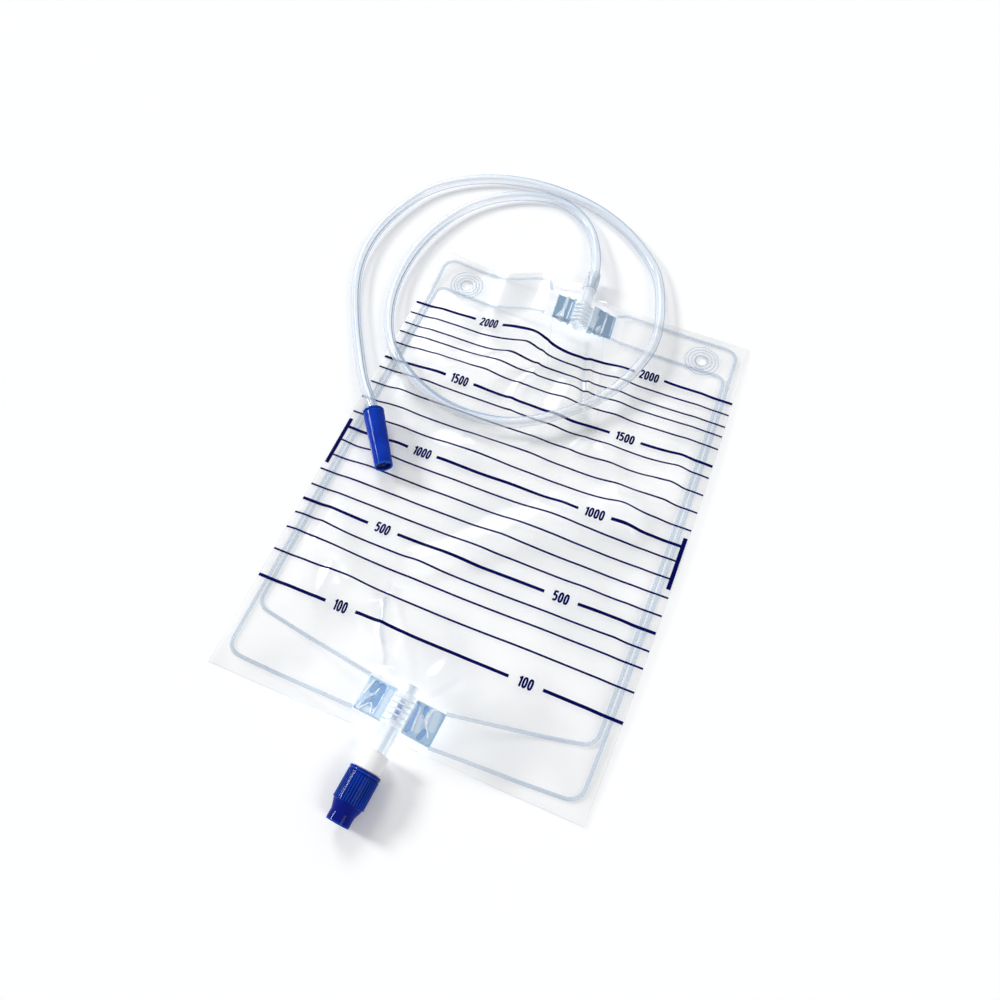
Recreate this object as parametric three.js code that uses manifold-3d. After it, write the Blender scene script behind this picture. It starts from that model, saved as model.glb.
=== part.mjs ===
// Urine drainage bag, 2000 ml, with its inlet tube and twist drain valve, lying on its back film.
// Millimetres, +Z up. The origin is the centre of the back film's underside, +Y points to the inlet.
import * as THREE from 'three';
import { mergeVertices } from 'three/addons/utils/BufferGeometryUtils.js';
import Module from 'manifold-3d';

const wasm = await Module();
wasm.setup();

// Fits between pieces, and how far joined bodies reach into each other and cutting tools run past a face
const gap = 0.3;
const filmClearance = 0.45;
const lap = 0.5;
const overcut = 1;

// Films
const filmWidth = 215;
const filmLength = 308;
const filmWall = 0.2;
const rightBow = 2.8;
const bowStart = 30;
const rightLift = 2;
const rightLiftWidth = 27;
const cornerLift = 3.5;
const cornerReach = 34;

// Weld lines pressed into both films: one round the bag, one round the pouch, both broken by the fittings
const weldWidth = 1.8;
const weldHeight = 0.2;
const outerWeld = { sideInset: 5.9, topInset: 5.4, bottomInset: 9.4, corner: 9, shoulder: 5 };
const innerWeld = { sideInset: 9, topInset: 27.4, bottomInset: 38, corner: 7, funnelDrop: 12 };
const cornerSteps = 4;

// Pouch between the films, inside the inner weld
const pouchRamp = 12;
const pouchHeight = 1.6;

// Hanging holes and the rings pressed round them
const eyeletSideInset = 25.9;
const eyeletTopInset = 20.2;
const eyeletHoleRadius = 3.2;
const eyeletRings = { count: 4, first: 1.2, pitch: 2.07, width: 0.8, height: 0.25, border: 1 };
const eyeletSides = 16;

// Printed scale: millilitres and the height of each line above the film's lower edge
const scaleHeights = [
  [2000, 262.6], [1900, 253.6], [1800, 244.5], [1700, 237], [1600, 227.6],
  [1500, 215], [1400, 206.7], [1300, 194.6], [1200, 182.5], [1100, 170.5],
  [1000, 159.3], [900, 149.7], [800, 138.4], [700, 127.2], [600, 116],
  [500, 105.6], [400, 95], [300, 84.9], [200, 71.2], [100, 54.2],
];
const labelledMarks = [2000, 1500, 1000, 500, 100];
const labelX = 54.5;
const labelGap = 19;
const thinLine = 0.85;
const thickLine = 1.6;
const inkDepth = 0.15;
const inkInset = 0.2;
const edgeBar = { width: 2.4, low: 132, high: 165, inset: 0.6 };

// Fittings welded between the films: a tube between two wings, with rings round it
const fittingLength = 18.5;
const fittingHalfWidth = 22.5;
const wingInner = 6.2;
const wingTip = 0.7;
const ringCount = 5;
const ringPitch = 3.1;
const ringDepth = 1.4;
const ringOverWing = 0.8;
const slotWidth = 2.4;
const slotEnd = 3;
const slotOffsets = [4.4, 9.8];
const roundSides = 20;

const inlet = {
  x: 0,
  edgeInset: 20.5,
  z: 7.6,
  yaw: 6,
  roll: 14,
  ringHalf: 4.5,
  wingHalf: 3.8,
  tubeRadius: 4,
  spoutRadius: 4.35,
  spoutEnd: 21.3,
  stub: 0,
};
const outlet = {
  x: 1,
  edgeInset: 15,
  yaw: 175.5,
  roll: 0,
  ringHalf: 5.6,
  wingHalf: 4.5,
  tubeRadius: 4.7,
  boreRadius: 2.6,
  spoutRadius: 5.3,
  spoutEnd: 30.9,
  stub: 5,
};
const stubWall = 0.6;

// How the films drape round a fitting: margins over it, and where the room for it fades out
const drape = { level: 1, past: 2, blend: 4, inward: 14, bend: 0.6, slack: 0.25, fade: 7 };
const spoutDrape = { slack: 0.9, shoulder: 1.6, shoulderHeight: 0.74, fade: 3.4 };
const inletTent = { reach: 34, spread: 40 };
const outletTent = { reach: 41, spread: 52 };

// Ripples of the front film: ridges along short lines
const ripples = [
  { from: [-22, 101], to: [-42, 76], width: 8, height: 2.8 },
  { from: [12, 80], to: [12, 54], width: 8, height: 2.4 },
  { from: [4, 32], to: [-40, 13], width: 10, height: 2.4 },
  { from: [96, 48], to: [70, 16], width: 14, height: 3 },
  { from: [66, 10], to: [20, -26], width: 12, height: 2.5 },
  { from: [-86, -60], to: [-58, -86], width: 10, height: 3.4 },
  { from: [-56, -87], to: [-28, -98], width: 12, height: 2.6 },
  { from: [38, 103], to: [45, 76], width: 7, height: 1.8 },
  { from: [-54, 76], to: [-74, 56], width: 7, height: 1.2 },
  { from: [40, -84], to: [72, -96], width: 12, height: 1.2 },
];

// Film sleeve of the non-return valve
const sleeve = { width: 36, length: 78, slant: 0.18, wall: 0.2, slit: 0.3, lift: 0.35, steps: 8 };

// Tube and the cuff at the inlet
const tubeRadius = 3.25;
const tubeSides = 8;
const tubeSteps = 72;
const tubeLeaving = [0, 4, 9];
const tubeEntering = [-5, 1];
const spigotRadius = 2.6;
const spigotLength = 10.7;
const spigotWall = 0.7;
const cuff = { length: 14.4, shoulder: 9.5, wall: 0.5, flare: 0.65 };

// Catheter connector and its cap, at the tube's free end
const capMouth = [-92.2, 17.1, 9.9];
const capHeading = -54.4;
const cap = {
  length: 40,
  wall: 1.1,
  room: 0.4,
  taper: 1.1,
  bevel: 0.9,
  recess: 1.3,
  endWall: 1.6,
  gateRadius: 0.6,
  gateHeight: 0.35,
};
const connector = {
  barrelLength: 12.4,
  barrelWall: 1.15,
  socketDepth: 10,
  coneLength: 20,
  coneBase: 4.2,
  coneTip: 3,
  boreRadius: 2,
  seat: 0.6,
};

// Drain valve: white collar with plug, seal ring, blue twist cap
const collar = { start: 22.8, length: 9.8, wall: 1.7, shoulder: 1.2, neckLength: 13.6, neckWall: 1.3 };
const plug = { radius: 2, tipRadius: 1.1, tip: 1.6, reach: 2.4, root: 6 };
const spoke = { width: 1.2, depth: 3, at: 4 };
const sealRing = { depth: 1.7, thickness: 0.9 };
const valveCap = {
  length: 27.2,
  wall: 0.9,
  lipStep: 0.2,
  lipDepth: 2.2,
  gripDepth: 14.8,
  gripRibs: 24,
  grooveDepth: 0.45,
  coneStep: 0.95,
  coneDepth: 5,
  nozzleStep: 1.25,
  nozzleWall: 1.2,
  seatWall: 1.5,
  overSurface: 0.2,
};

// Inlet tube's route, from the inlet's spigot to the connector, one and three quarter turns
const tubeRoute = [
  [-8.2, 186, 5.6],
  [-14.4, 200, 3.9],
  [-24.5, 213.6, 3.3],
  [-44.6, 225.6, 3.3],
  [-66, 225.4, 3.3],
  [-91, 213.8, 3.3],
  [-109, 195.6, 3.3],
  [-122, 168, 3.3],
  [-126.8, 139, 3.3],
  [-124.4, 110, 3.7],
  [-116.6, 86.4, 5],
  [-103.6, 65.6, 7],
  [-86, 51.4, 7.6],
  [-66, 41.6, 7.6],
  [-45, 37.2, 7.8],
  [-24, 38.2, 8.2],
  [-8, 42.6, 8.6],
  [7.4, 52.2, 9.2],
  [20.4, 63.6, 9.2],
  [31.6, 76.2, 8.6],
  [40.4, 91, 8.8],
  [46.6, 107.6, 8.6],
  [50, 123.6, 7.4],
  [49.8, 141, 6],
  [45, 162, 4.6],
  [34.7, 188, 3.3],
  [18.1, 205.8, 3.3],
  [-4, 221.4, 3.3],
  [-28, 231, 3.3],
  [-48.4, 234.6, 3.3],
  [-72, 235.4, 3.3],
  [-106, 227.6, 3.3],
  [-138, 205.6, 3.3],
  [-154.6, 172, 3.3],
  [-158.8, 140.6, 3.3],
  [-153.4, 112.4, 3.3],
  [-139, 82, 3.3],
  [-121, 53, 4.2],
  [-106.4, 32.6, 7.4],
];

const halfWidth = filmWidth / 2;
const halfLength = filmLength / 2;
const eyeletX = halfWidth - eyeletSideInset;
const eyeletY = halfLength - eyeletTopInset;
const eyeletRingRadii = Array.from({ length: eyeletRings.count }, (_, k) => (
  eyeletHoleRadius + eyeletRings.first + k * eyeletRings.pitch
));
const eyeletPadHalf = Math.max(...eyeletRingRadii) + eyeletRings.width / 2 + eyeletRings.border;
const restHeight = filmWall + gap / 2;
const scaleMarks = scaleHeights.map(([millilitres, height]) => [millilitres, height - halfLength]);
const barLow = edgeBar.low - halfLength;
const barHigh = edgeBar.high - halfLength;
const fittingEnd = fittingLength / 2;

// Radii of the valve from its spout outwards, each round the one before
const collarRadius = outlet.spoutRadius + gap + collar.wall;
const neckRadius = collarRadius - collar.shoulder;
const sealRadius = neckRadius + gap + sealRing.thickness;
const gripRadius = sealRadius + gap + valveCap.wall;

// Radii of the cuff, the connector and its cap, from the tube outwards
const tubeHole = tubeRadius + gap;
const barrelRadius = tubeHole + connector.barrelWall;
const capBore = barrelRadius + gap + cap.room;

inlet.y = halfLength - inlet.edgeInset;
inlet.boreRadius = spigotRadius - spigotWall;
outlet.y = outlet.edgeInset - halfLength;
outlet.z = gripRadius + valveCap.overSurface;

// Grid lines closer than this are one line
const sameLine = 0.3;

const clamp = THREE.MathUtils.clamp;
const smooth = (t) => THREE.MathUtils.smoothstep(t, 0, 1);
const degrees = THREE.MathUtils.degToRad;

// Straight-line interpolation through a list of [at, value] pairs
function along(pairs, at) {
  const next = pairs.findIndex(([place]) => place >= at);
  if (next < 1) {
    return next === 0 ? pairs[0][1] : pairs[pairs.length - 1][1];
  }
  const [a, p] = pairs[next - 1];
  const [b, q] = pairs[next];
  return p + ((q - p) * (at - a)) / (b - a);
}

// A point seen from above, in a fitting's own directions: across it and outwards along it
function toFitting(fitting, x, y) {
  const turn = degrees(fitting.yaw);
  const dx = x - fitting.x;
  const dy = y - fitting.y;
  return [dx * Math.cos(turn) + dy * Math.sin(turn), dy * Math.cos(turn) - dx * Math.sin(turn)];
}

function fromFitting(fitting, across, out) {
  const turn = degrees(fitting.yaw);
  const dx = across * Math.cos(turn) - out * Math.sin(turn);
  const dy = across * Math.sin(turn) + out * Math.cos(turn);
  return [fitting.x + dx, fitting.y + dy];
}

// Half the room that the films leave over the wings and over the spout, at a distance from the middle
function wingRoom(fitting, far) {
  return along([
    [0, fitting.ringHalf + filmClearance + drape.slack],
    [wingInner + drape.bend, fitting.wingHalf + filmClearance + drape.slack],
    [fittingHalfWidth + drape.bend, wingTip + filmClearance],
    [fittingHalfWidth + drape.fade, gap / 2],
  ], far);
}

function spoutRoom(fitting, far) {
  const radius = fitting.spoutRadius;
  return along([
    [0, radius + filmClearance + spoutDrape.slack],
    [radius * spoutDrape.shoulder, radius * spoutDrape.shoulderHeight + filmClearance],
    [radius * spoutDrape.fade, gap / 2],
  ], far);
}

function fittingRoom(fitting, x, y) {
  const [across, out] = toFitting(fitting, x, y);
  const far = Math.abs(across);
  const wings = wingRoom(fitting, far);
  const past = out - fittingEnd - drape.past;
  if (past > 0) {
    return THREE.MathUtils.lerp(wings, spoutRoom(fitting, far), clamp(past / drape.blend, 0, 1));
  }
  const inward = -out - fittingEnd - drape.past;
  return Math.max(gap / 2, wings * (1 - clamp(inward / drape.inward, 0, 1)));
}

// How much a fitting lifts the films' middle plane: it stands clear of the surface and may be rolled
function tentHeight(fitting, tent, x, y) {
  const [across, out] = toFitting(fitting, x, y);
  const side = fittingHalfWidth + drape.level;
  const near = 1 - clamp((-out - fittingEnd - drape.level) / tent.reach, 0, 1);
  const beside = 1 - smooth((Math.abs(across) - side) / tent.spread);
  const roll = clamp(across, -side, side) * Math.tan(degrees(fitting.roll));
  return Math.max(0, (fitting.z - restHeight - roll) * near * beside);
}

// Height of the films' middle plane: low where they lie flat, raised at the fittings, right edge and corner
function middleHeight(x, y) {
  const edge = smooth((x - halfWidth + rightLiftWidth) / rightLiftWidth) * (1 - (y / halfLength) ** 2);
  const corner = smooth(1 - Math.hypot(x + halfWidth, y - halfLength) / cornerReach);
  const tents = tentHeight(inlet, inletTent, x, y) + tentHeight(outlet, outletTent, x, y);
  return restHeight + tents + rightLift * edge + cornerLift * corner;
}

// How far the pouch is open: 0 at the inner weld, 1 well inside it
function pouchOpening(x, y) {
  const side = halfWidth - innerWeld.sideInset;
  const funnel = innerWeld.bottomInset - halfLength - innerWeld.funnelDrop * (1 - Math.abs(x) / side);
  const inside = Math.min(side - Math.abs(x), halfLength - innerWeld.topInset - y, y - funnel);
  return smooth(inside / pouchRamp);
}

// Height that the ripples add to the front film
function rippleHeight(x, y) {
  return ripples.reduce((sum, ripple) => {
    const start = new THREE.Vector2(...ripple.from);
    const run = new THREE.Vector2(...ripple.to).sub(start);
    const point = new THREE.Vector2(x, y).sub(start);
    const t = clamp(point.dot(run) / run.lengthSq(), 0, 1);
    const distance = point.sub(run.multiplyScalar(t)).length();
    return sum + ripple.height * Math.exp(-((distance / ripple.width) ** 2));
  }, 0);
}

// The flat pads round the hanging holes take the height of their centre
function padPoint(x, y) {
  const acrossPad = Math.abs(Math.abs(x) - eyeletX);
  const alongPad = Math.abs(y - eyeletY);
  const onPad = Math.max(acrossPad, alongPad) < eyeletPadHalf + sameLine;
  return onPad ? [Math.sign(x) * eyeletX, eyeletY] : [x, y];
}

function roomAt(x, y) {
  return Math.max(fittingRoom(inlet, x, y), fittingRoom(outlet, x, y));
}

function backBottom(x, y) {
  const [px, py] = padPoint(x, y);
  return middleHeight(px, py) - Math.max(roomAt(px, py), gap / 2) - filmWall;
}

function frontBottom(x, y) {
  const [px, py] = padPoint(x, y);
  const pouch = pouchOpening(px, py) * (pouchHeight + rippleHeight(px, py));
  return middleHeight(px, py) + Math.max(roomAt(px, py), gap / 2 + pouch);
}

// The right edge of the film bows outwards between its corners
function bowed(x, y) {
  const share = clamp((x - bowStart) / (halfWidth - bowStart), 0, 1);
  return x + rightBow * (1 - (y / halfLength) ** 2) * share;
}

// Grid of the films. The front one's rows run along the printed lines, the back one has fewer of them
const columnsPerSpan = 4;
const backEvery = 4;
const tentRows = 70;
const rowShares = [-1, -0.5, 0, 0.5, 1];
const spread = (from, to, count) => (
  Array.from({ length: count }, (_, k) => from + ((to - from) * (k + 1)) / count)
);
const fittingSpan = fittingHalfWidth + drape.fade;
const columnsRight = [
  ...spread(0, fittingSpan, columnsPerSpan),
  ...spread(fittingSpan, eyeletX - eyeletPadHalf, columnsPerSpan),
  eyeletX,
  eyeletX + eyeletPadHalf,
  halfWidth,
];
const columns = [...columnsRight.map((x) => -x).reverse(), 0, ...columnsRight];
const fittingRows = (fitting) => rowShares.map((share) => fitting.y + share * (fittingEnd + drape.level));
const borderRows = [
  -halfLength,
  ...fittingRows(outlet),
  innerWeld.bottomInset - halfLength,
  ...fittingRows(inlet),
  eyeletY - eyeletPadHalf,
  eyeletY + eyeletPadHalf,
  halfLength,
];
const sorted = (list) => (
  [...list].sort((a, b) => a - b).filter((y, k, all) => k === 0 || y - all[k - 1] > sameLine)
);
const frontRows = sorted([...borderRows, ...scaleMarks.map((mark) => mark[1])]);
const backRows = sorted([
  ...borderRows,
  ...frontRows.filter((y, k) => Math.abs(y) > tentRows || k % backEvery === 0),
]);

// Height of the front film's underside on its facets
function onFilm(x, y) {
  const bracket = (list, value) => {
    const i = Math.max(1, list.findIndex((item) => item >= Math.min(value, list[list.length - 1])));
    return [list[i - 1], list[i], clamp((value - list[i - 1]) / (list[i] - list[i - 1]), 0, 1)];
  };
  const [x0, x1, u] = bracket(columns, x);
  const [y0, y1, v] = bracket(frontRows, y);
  const near = frontBottom(x0, y0);
  const far = frontBottom(x1, y1);
  const third = u > v ? frontBottom(x1, y0) : frontBottom(x0, y1);
  return near + Math.min(u, v) * (far - near) + Math.abs(u - v) * (third - near);
}

// Closed body from rings of points, each joined to the next. A looped one's last ring meets its first
function closedRings(rings, looped = false) {
  const size = rings[0].length;
  const position = rings.flat().flat();
  const index = [];
  const joins = looped ? rings.length : rings.length - 1;
  for (let r = 0; r < joins; r += 1) {
    const a = r * size;
    const b = ((r + 1) % rings.length) * size;
    for (let k = 0; k < size; k += 1) {
      const n = (k + 1) % size;
      index.push(a + k, a + n, b + n, a + k, b + n, b + k);
    }
  }
  if (!looped) {
    const last = (rings.length - 1) * size;
    for (let k = 1; k < size - 1; k += 1) {
      index.push(0, k + 1, k, last, last + k, last + k + 1);
    }
  }
  const geometry = new THREE.BufferGeometry();
  geometry.setAttribute('position', new THREE.Float32BufferAttribute(position, 3));
  geometry.setIndex(index);
  return geometry;
}

// Film with its underside at a given height
function sheet(bottom, rows) {
  const wide = columns.length;
  const high = rows.length;
  const position = [];
  for (const lift of [0, filmWall]) {
    for (const y of rows) {
      for (const x of columns) {
        position.push(bowed(x, y), y, bottom(x, y) + lift);
      }
    }
  }
  const index = [];
  const top = wide * high;
  for (let j = 0; j < high - 1; j += 1) {
    for (let i = 0; i < wide - 1; i += 1) {
      const a = j * wide + i;
      const b = a + 1;
      const c = b + wide;
      const d = a + wide;
      index.push(a, c, b, a, d, c, top + a, top + b, top + c, top + a, top + c, top + d);
    }
  }
  const rim = [
    ...Array.from({ length: wide - 1 }, (_, i) => i),
    ...Array.from({ length: high - 1 }, (_, j) => j * wide + wide - 1),
    ...Array.from({ length: wide - 1 }, (_, i) => high * wide - 1 - i),
    ...Array.from({ length: high - 1 }, (_, j) => (high - 1 - j) * wide),
  ];
  rim.forEach((a, k) => {
    const b = rim[(k + 1) % rim.length];
    index.push(a, b, top + b, a, top + b, top + a);
  });
  const geometry = new THREE.BufferGeometry();
  geometry.setAttribute('position', new THREE.Float32BufferAttribute(position, 3));
  geometry.setIndex(index);
  return geometry;
}

// Joining and cutting
function solid(source) {
  const bare = source.clone();
  bare.deleteAttribute('normal');
  bare.deleteAttribute('uv');
  const merged = mergeVertices(bare, 1e-4);
  const vertProperties = new Float32Array(merged.attributes.position.array);
  const triVerts = new Uint32Array(merged.index.array);
  return new wasm.Manifold(new wasm.Mesh({ numProp: 3, vertProperties, triVerts }));
}

function geometryOf(body) {
  const mesh = body.getMesh();
  const geometry = new THREE.BufferGeometry();
  geometry.setAttribute('position', new THREE.Float32BufferAttribute(mesh.vertProperties, 3));
  geometry.setIndex(Array.from(mesh.triVerts));
  return geometry;
}

const joined = (parts) => parts.slice(1).reduce((body, part) => body.add(solid(part)), solid(parts[0]));
const cut = (body, tools) => tools.reduce((rest, tool) => rest.subtract(solid(tool)), body);

// Round bodies and extrusions along a fitting's own +Y
function rod(radius, from, to, endRadius = radius, sides = roundSides) {
  return new THREE.CylinderGeometry(endRadius, radius, to - from, sides).translate(0, (from + to) / 2, 0);
}

function turned(profile, sides = roundSides) {
  return new THREE.LatheGeometry(profile.map(([radius, out]) => new THREE.Vector2(radius, out)), sides);
}

function extruded(outline, from, to) {
  const shape = new THREE.Shape(outline.map(([x, z]) => new THREE.Vector2(x, z)));
  const geometry = new THREE.ExtrudeGeometry(shape, { depth: to - from, bevelEnabled: false });
  return geometry.rotateX(Math.PI / 2).translate(0, to, 0);
}

function ring(innerRadius, outerRadius, from, to, sides = roundSides) {
  return turned([
    [innerRadius, from],
    [outerRadius, from],
    [outerRadius, to],
    [innerRadius, to],
    [innerRadius, from],
  ], sides);
}

const colours = {
  film: { color: 0xeef2f6, roughness: 0.22 },
  clear: { color: 0xbcd4ea, roughness: 0.18 },
  tube: { color: 0xdfeaf5, roughness: 0.2 },
  blue: { color: 0x0c3aa8, roughness: 0.28 },
  white: { color: 0xf7f8fa, roughness: 0.35 },
  seal: { color: 0xd8dde2, roughness: 0.6 },
  ink: { color: 0x141d5e, roughness: 0.5 },
};

const bag = new THREE.Group();

function part(name, colour, geometry, group = bag) {
  const finish = colours[colour];
  const material = new THREE.MeshStandardMaterial({ ...finish, metalness: 0 });
  const mesh = new THREE.Mesh(geometry, material);
  mesh.name = name;
  group.add(mesh);
  return mesh;
}

// Group that stands at a fitting, its +Y pointing out of the bag
function fittingGroup(fitting) {
  const group = new THREE.Group();
  group.position.set(fitting.x, fitting.y, fitting.z);
  group.rotation.set(0, degrees(fitting.roll), degrees(fitting.yaw), 'ZYX');
  bag.add(group);
  return group;
}

// Film with its hanging holes
function film(bottom, rows) {
  return [-1, 1].reduce((body, side) => {
    const z = bottom(side * eyeletX, eyeletY);
    const hole = rod(eyeletHoleRadius, z - overcut, z + filmWall + overcut, eyeletHoleRadius, eyeletSides);
    return cut(body, [hole.rotateX(Math.PI / 2).translate(bowed(side * eyeletX, eyeletY), eyeletY, 0)]);
  }, solid(sheet(bottom, rows)));
}

// Rings pressed up round a hanging hole
function ringsRound(side) {
  const x = bowed(side * eyeletX, eyeletY);
  const z = frontBottom(side * eyeletX, eyeletY);
  return eyeletRingRadii.map((radius) => {
    const inner = radius - eyeletRings.width / 2;
    const outer = radius + eyeletRings.width / 2;
    const raised = ring(inner, outer, z + filmWall / 2, z + filmWall + eyeletRings.height, eyeletSides);
    return raised.rotateX(Math.PI / 2).translate(x, eyeletY, 0);
  });
}

// Flat strip on the front film along a path, between two heights over the film's underside
function strip(path, width, low, high) {
  const rings = path.map(([x, y], k) => {
    const before = path[Math.max(k - 1, 0)];
    const after = path[Math.min(k + 1, path.length - 1)];
    const ahead = new THREE.Vector2(after[0] - before[0], after[1] - before[1]).setLength(width / 2);
    const at = (side, lift) => {
      const sx = x - side * ahead.y;
      const sy = y + side * ahead.x;
      return [bowed(sx, sy), sy, onFilm(sx, sy) + lift];
    };
    return [at(-1, low), at(1, low), at(1, high), at(-1, high)];
  });
  return closedRings(rings);
}

// A straight run with a station wherever it crosses the film's grid
function stations([x0, y0], [x1, y1]) {
  const shares = (list, a, b) => list.map((line) => (line - a) / (b - a));
  const crossings = [
    ...(Math.abs(x1 - x0) > lap ? shares(columns, x0, x1) : []),
    ...(Math.abs(y1 - y0) > lap ? shares(frontRows, y0, y1) : []),
  ];
  const margin = lap / Math.hypot(x1 - x0, y1 - y0);
  const inner = crossings.filter((t) => t > margin && t < 1 - margin).sort((a, b) => a - b);
  const kept = inner.filter((t, k) => k === 0 || t - inner[k - 1] > margin);
  return [0, ...kept, 1].map((t) => [THREE.MathUtils.lerp(x0, x1, t), THREE.MathUtils.lerp(y0, y1, t)]);
}

// Path through corners that are rounded off
function roundedPath(corners, radius) {
  const points = corners.map(([x, y]) => new THREE.Vector2(x, y));
  const towards = (from, to) => to.clone().sub(from).setLength(radius).add(from);
  const bends = points.slice(1, -1).map((corner, k) => {
    const [start, end] = [towards(corner, points[k]), towards(corner, points[k + 2])];
    const bend = new THREE.QuadraticBezierCurve(start, corner, end);
    return bend.getPoints(cornerSteps).map((point) => [point.x, point.y]);
  });
  const runs = [[corners[0]], ...bends, [corners[corners.length - 1]]];
  return runs.flatMap((run, k) => {
    const next = runs[k + 1];
    return next ? [...run.slice(0, -1), ...stations(run[run.length - 1], next[0]).slice(0, -1)] : run;
  });
}

// The two weld lines on one side of the bag, each from the inlet's wing to the outlet's
function weldLines(side) {
  const outerX = side * (halfWidth - outerWeld.sideInset);
  const innerX = side * (halfWidth - innerWeld.sideInset);
  const outerTop = halfLength - outerWeld.topInset;
  const outerBottom = outerWeld.bottomInset - halfLength;
  const outer = [
    fromFitting(inlet, side * fittingHalfWidth, fittingEnd),
    [side * (fittingHalfWidth + outerWeld.shoulder), outerTop],
    [outerX, outerTop],
    [outerX, outerBottom],
    fromFitting(outlet, -side * fittingHalfWidth, fittingEnd),
  ];
  const inner = [
    fromFitting(inlet, side * fittingHalfWidth, -fittingEnd),
    [innerX, halfLength - innerWeld.topInset],
    [innerX, innerWeld.bottomInset - halfLength],
    fromFitting(outlet, -side * fittingHalfWidth, -fittingEnd),
  ];
  const paths = [
    [...outer.slice(0, 1), ...roundedPath(outer.slice(1), outerWeld.corner)],
    roundedPath(inner, innerWeld.corner),
  ];
  return paths.map((path) => strip(path, weldWidth, filmWall / 2, filmWall + weldHeight));
}

function films() {
  part('back_film', 'film', geometryOf(film(backBottom, backRows)));
  const raised = [-1, 1].flatMap((side) => [...weldLines(side), ...ringsRound(side)]);
  const front = raised.reduce((body, piece) => body.add(solid(piece)), film(frontBottom, frontRows));
  part('front_film', 'film', geometryOf(front));
}

// Printed line over the front film and its welds
function ink(name, from, to, width) {
  const low = filmWall + weldHeight + gap;
  part(name, 'ink', strip(stations(from, to), width, low, low + inkDepth));
}

// The lines run from edge to edge, broken round a labelled line's two numerals, and stop at the edge bars
function scale() {
  const gapEdges = [-1, 1].flatMap((side) => [side * labelX - labelGap / 2, side * labelX + labelGap / 2]);
  for (const [millilitres, y] of scaleMarks) {
    const labelled = labelledMarks.includes(millilitres);
    const width = labelled ? thickLine : thinLine;
    const besideBar = y > barLow - width && y < barHigh + width;
    const end = halfWidth - (besideBar ? edgeBar.inset + edgeBar.width + gap : inkInset);
    const ends = [-end, ...(labelled ? gapEdges : []), end];
    const names = labelled ? ['left', 'middle', 'right'] : ['full'];
    names.forEach((name, k) => {
      ink(`mark_${millilitres}_${name}`, [ends[2 * k], y], [ends[2 * k + 1], y], width);
    });
  }
  const barX = halfWidth - edgeBar.inset - edgeBar.width / 2;
  ink('edge_bar_left', [-barX, barLow], [-barX, barHigh], edgeBar.width);
  ink('edge_bar_right', [barX, barLow], [barX, barHigh], edgeBar.width);
}

// Moulded fitting: wings with slots, rings round the middle tube, spout, inner stub and bore
function fittingBody(fitting, extras = []) {
  const wings = [-1, 1].map((side) => extruded([
    [side * wingInner, -side * fitting.wingHalf],
    [side * fittingHalfWidth, -side * wingTip],
    [side * fittingHalfWidth, side * wingTip],
    [side * wingInner, side * fitting.wingHalf],
  ], -fittingEnd, fittingEnd));
  const rings = Array.from({ length: ringCount }, (_, k) => {
    const out = (k - (ringCount - 1) / 2) * ringPitch;
    return new THREE.CylinderGeometry(1, 1, ringDepth, roundSides)
      .scale(wingInner + ringOverWing, 1, fitting.ringHalf)
      .translate(0, out, 0);
  });
  const inside = -fittingEnd - fitting.stub;
  const body = joined([
    rod(fitting.tubeRadius, -fittingEnd, fittingEnd),
    ...wings,
    ...rings,
    rod(fitting.spoutRadius, fittingEnd - lap, fitting.spoutEnd),
    ...(fitting.stub ? [rod(fitting.boreRadius + stubWall, inside, lap - fittingEnd)] : []),
    ...extras,
  ]);
  const through = 2 * (fitting.wingHalf + overcut);
  const slot = new THREE.BoxGeometry(slotWidth, fittingLength - 2 * slotEnd, through);
  const slots = [-1, 1].flatMap((side) => (
    slotOffsets.map((offset) => slot.clone().translate(side * (wingInner + offset), 0, 0))
  ));
  const bore = rod(fitting.boreRadius, inside - overcut, fitting.spoutEnd + spigotLength + overcut);
  return cut(body, [...slots, bore]);
}

function inletFitting(group) {
  const spigot = rod(spigotRadius, inlet.spoutEnd - lap, inlet.spoutEnd + spigotLength);
  part('inlet_port', 'clear', geometryOf(fittingBody(inlet, [spigot])), group);
}

function inletCuff(group) {
  const start = inlet.spoutEnd + gap;
  const end = start + cuff.length;
  const tubeAt = inlet.spoutEnd + spigotLength;
  const endRadius = tubeHole + cuff.wall;
  part('inlet_cuff', 'tube', turned([
    [spigotRadius + gap, start],
    [endRadius + cuff.flare, start],
    [endRadius + cuff.flare, start + cuff.shoulder],
    [endRadius, end],
    [tubeHole, end],
    [tubeHole, tubeAt],
    [spigotRadius + gap, tubeAt],
    [spigotRadius + gap, start],
  ]), group);
}

// Flat film sleeve below the inlet, open at both ends
function valveSleeve() {
  const across = [-1, -0.5, 0, 0.5, 1];
  const drops = [0, ...spread(0, sleeve.length, sleeve.steps)];
  const half = sleeve.width / 2;
  const at = (u, drop, lift) => {
    const [x, y] = fromFitting(inlet, u * half + sleeve.slant * drop, -fittingEnd - gap - drop);
    return [x, y, middleHeight(x, y) + sleeve.lift + lift];
  };
  const tube = (low, high, reach, list) => closedRings(list.map((drop) => [
    ...across.map((u) => at(u * reach, drop, low)),
    ...[...across].reverse().map((u) => at(u * reach, drop, high)),
  ]));
  const inner = 1 - sleeve.wall / half;
  const slitTop = sleeve.wall + sleeve.slit;
  const outside = tube(0, slitTop + sleeve.wall, 1, drops);
  const inside = tube(sleeve.wall, slitTop, inner, [-overcut, ...drops, sleeve.length + overcut]);
  part('valve_sleeve', 'film', geometryOf(cut(solid(outside), [inside])));
}

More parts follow.
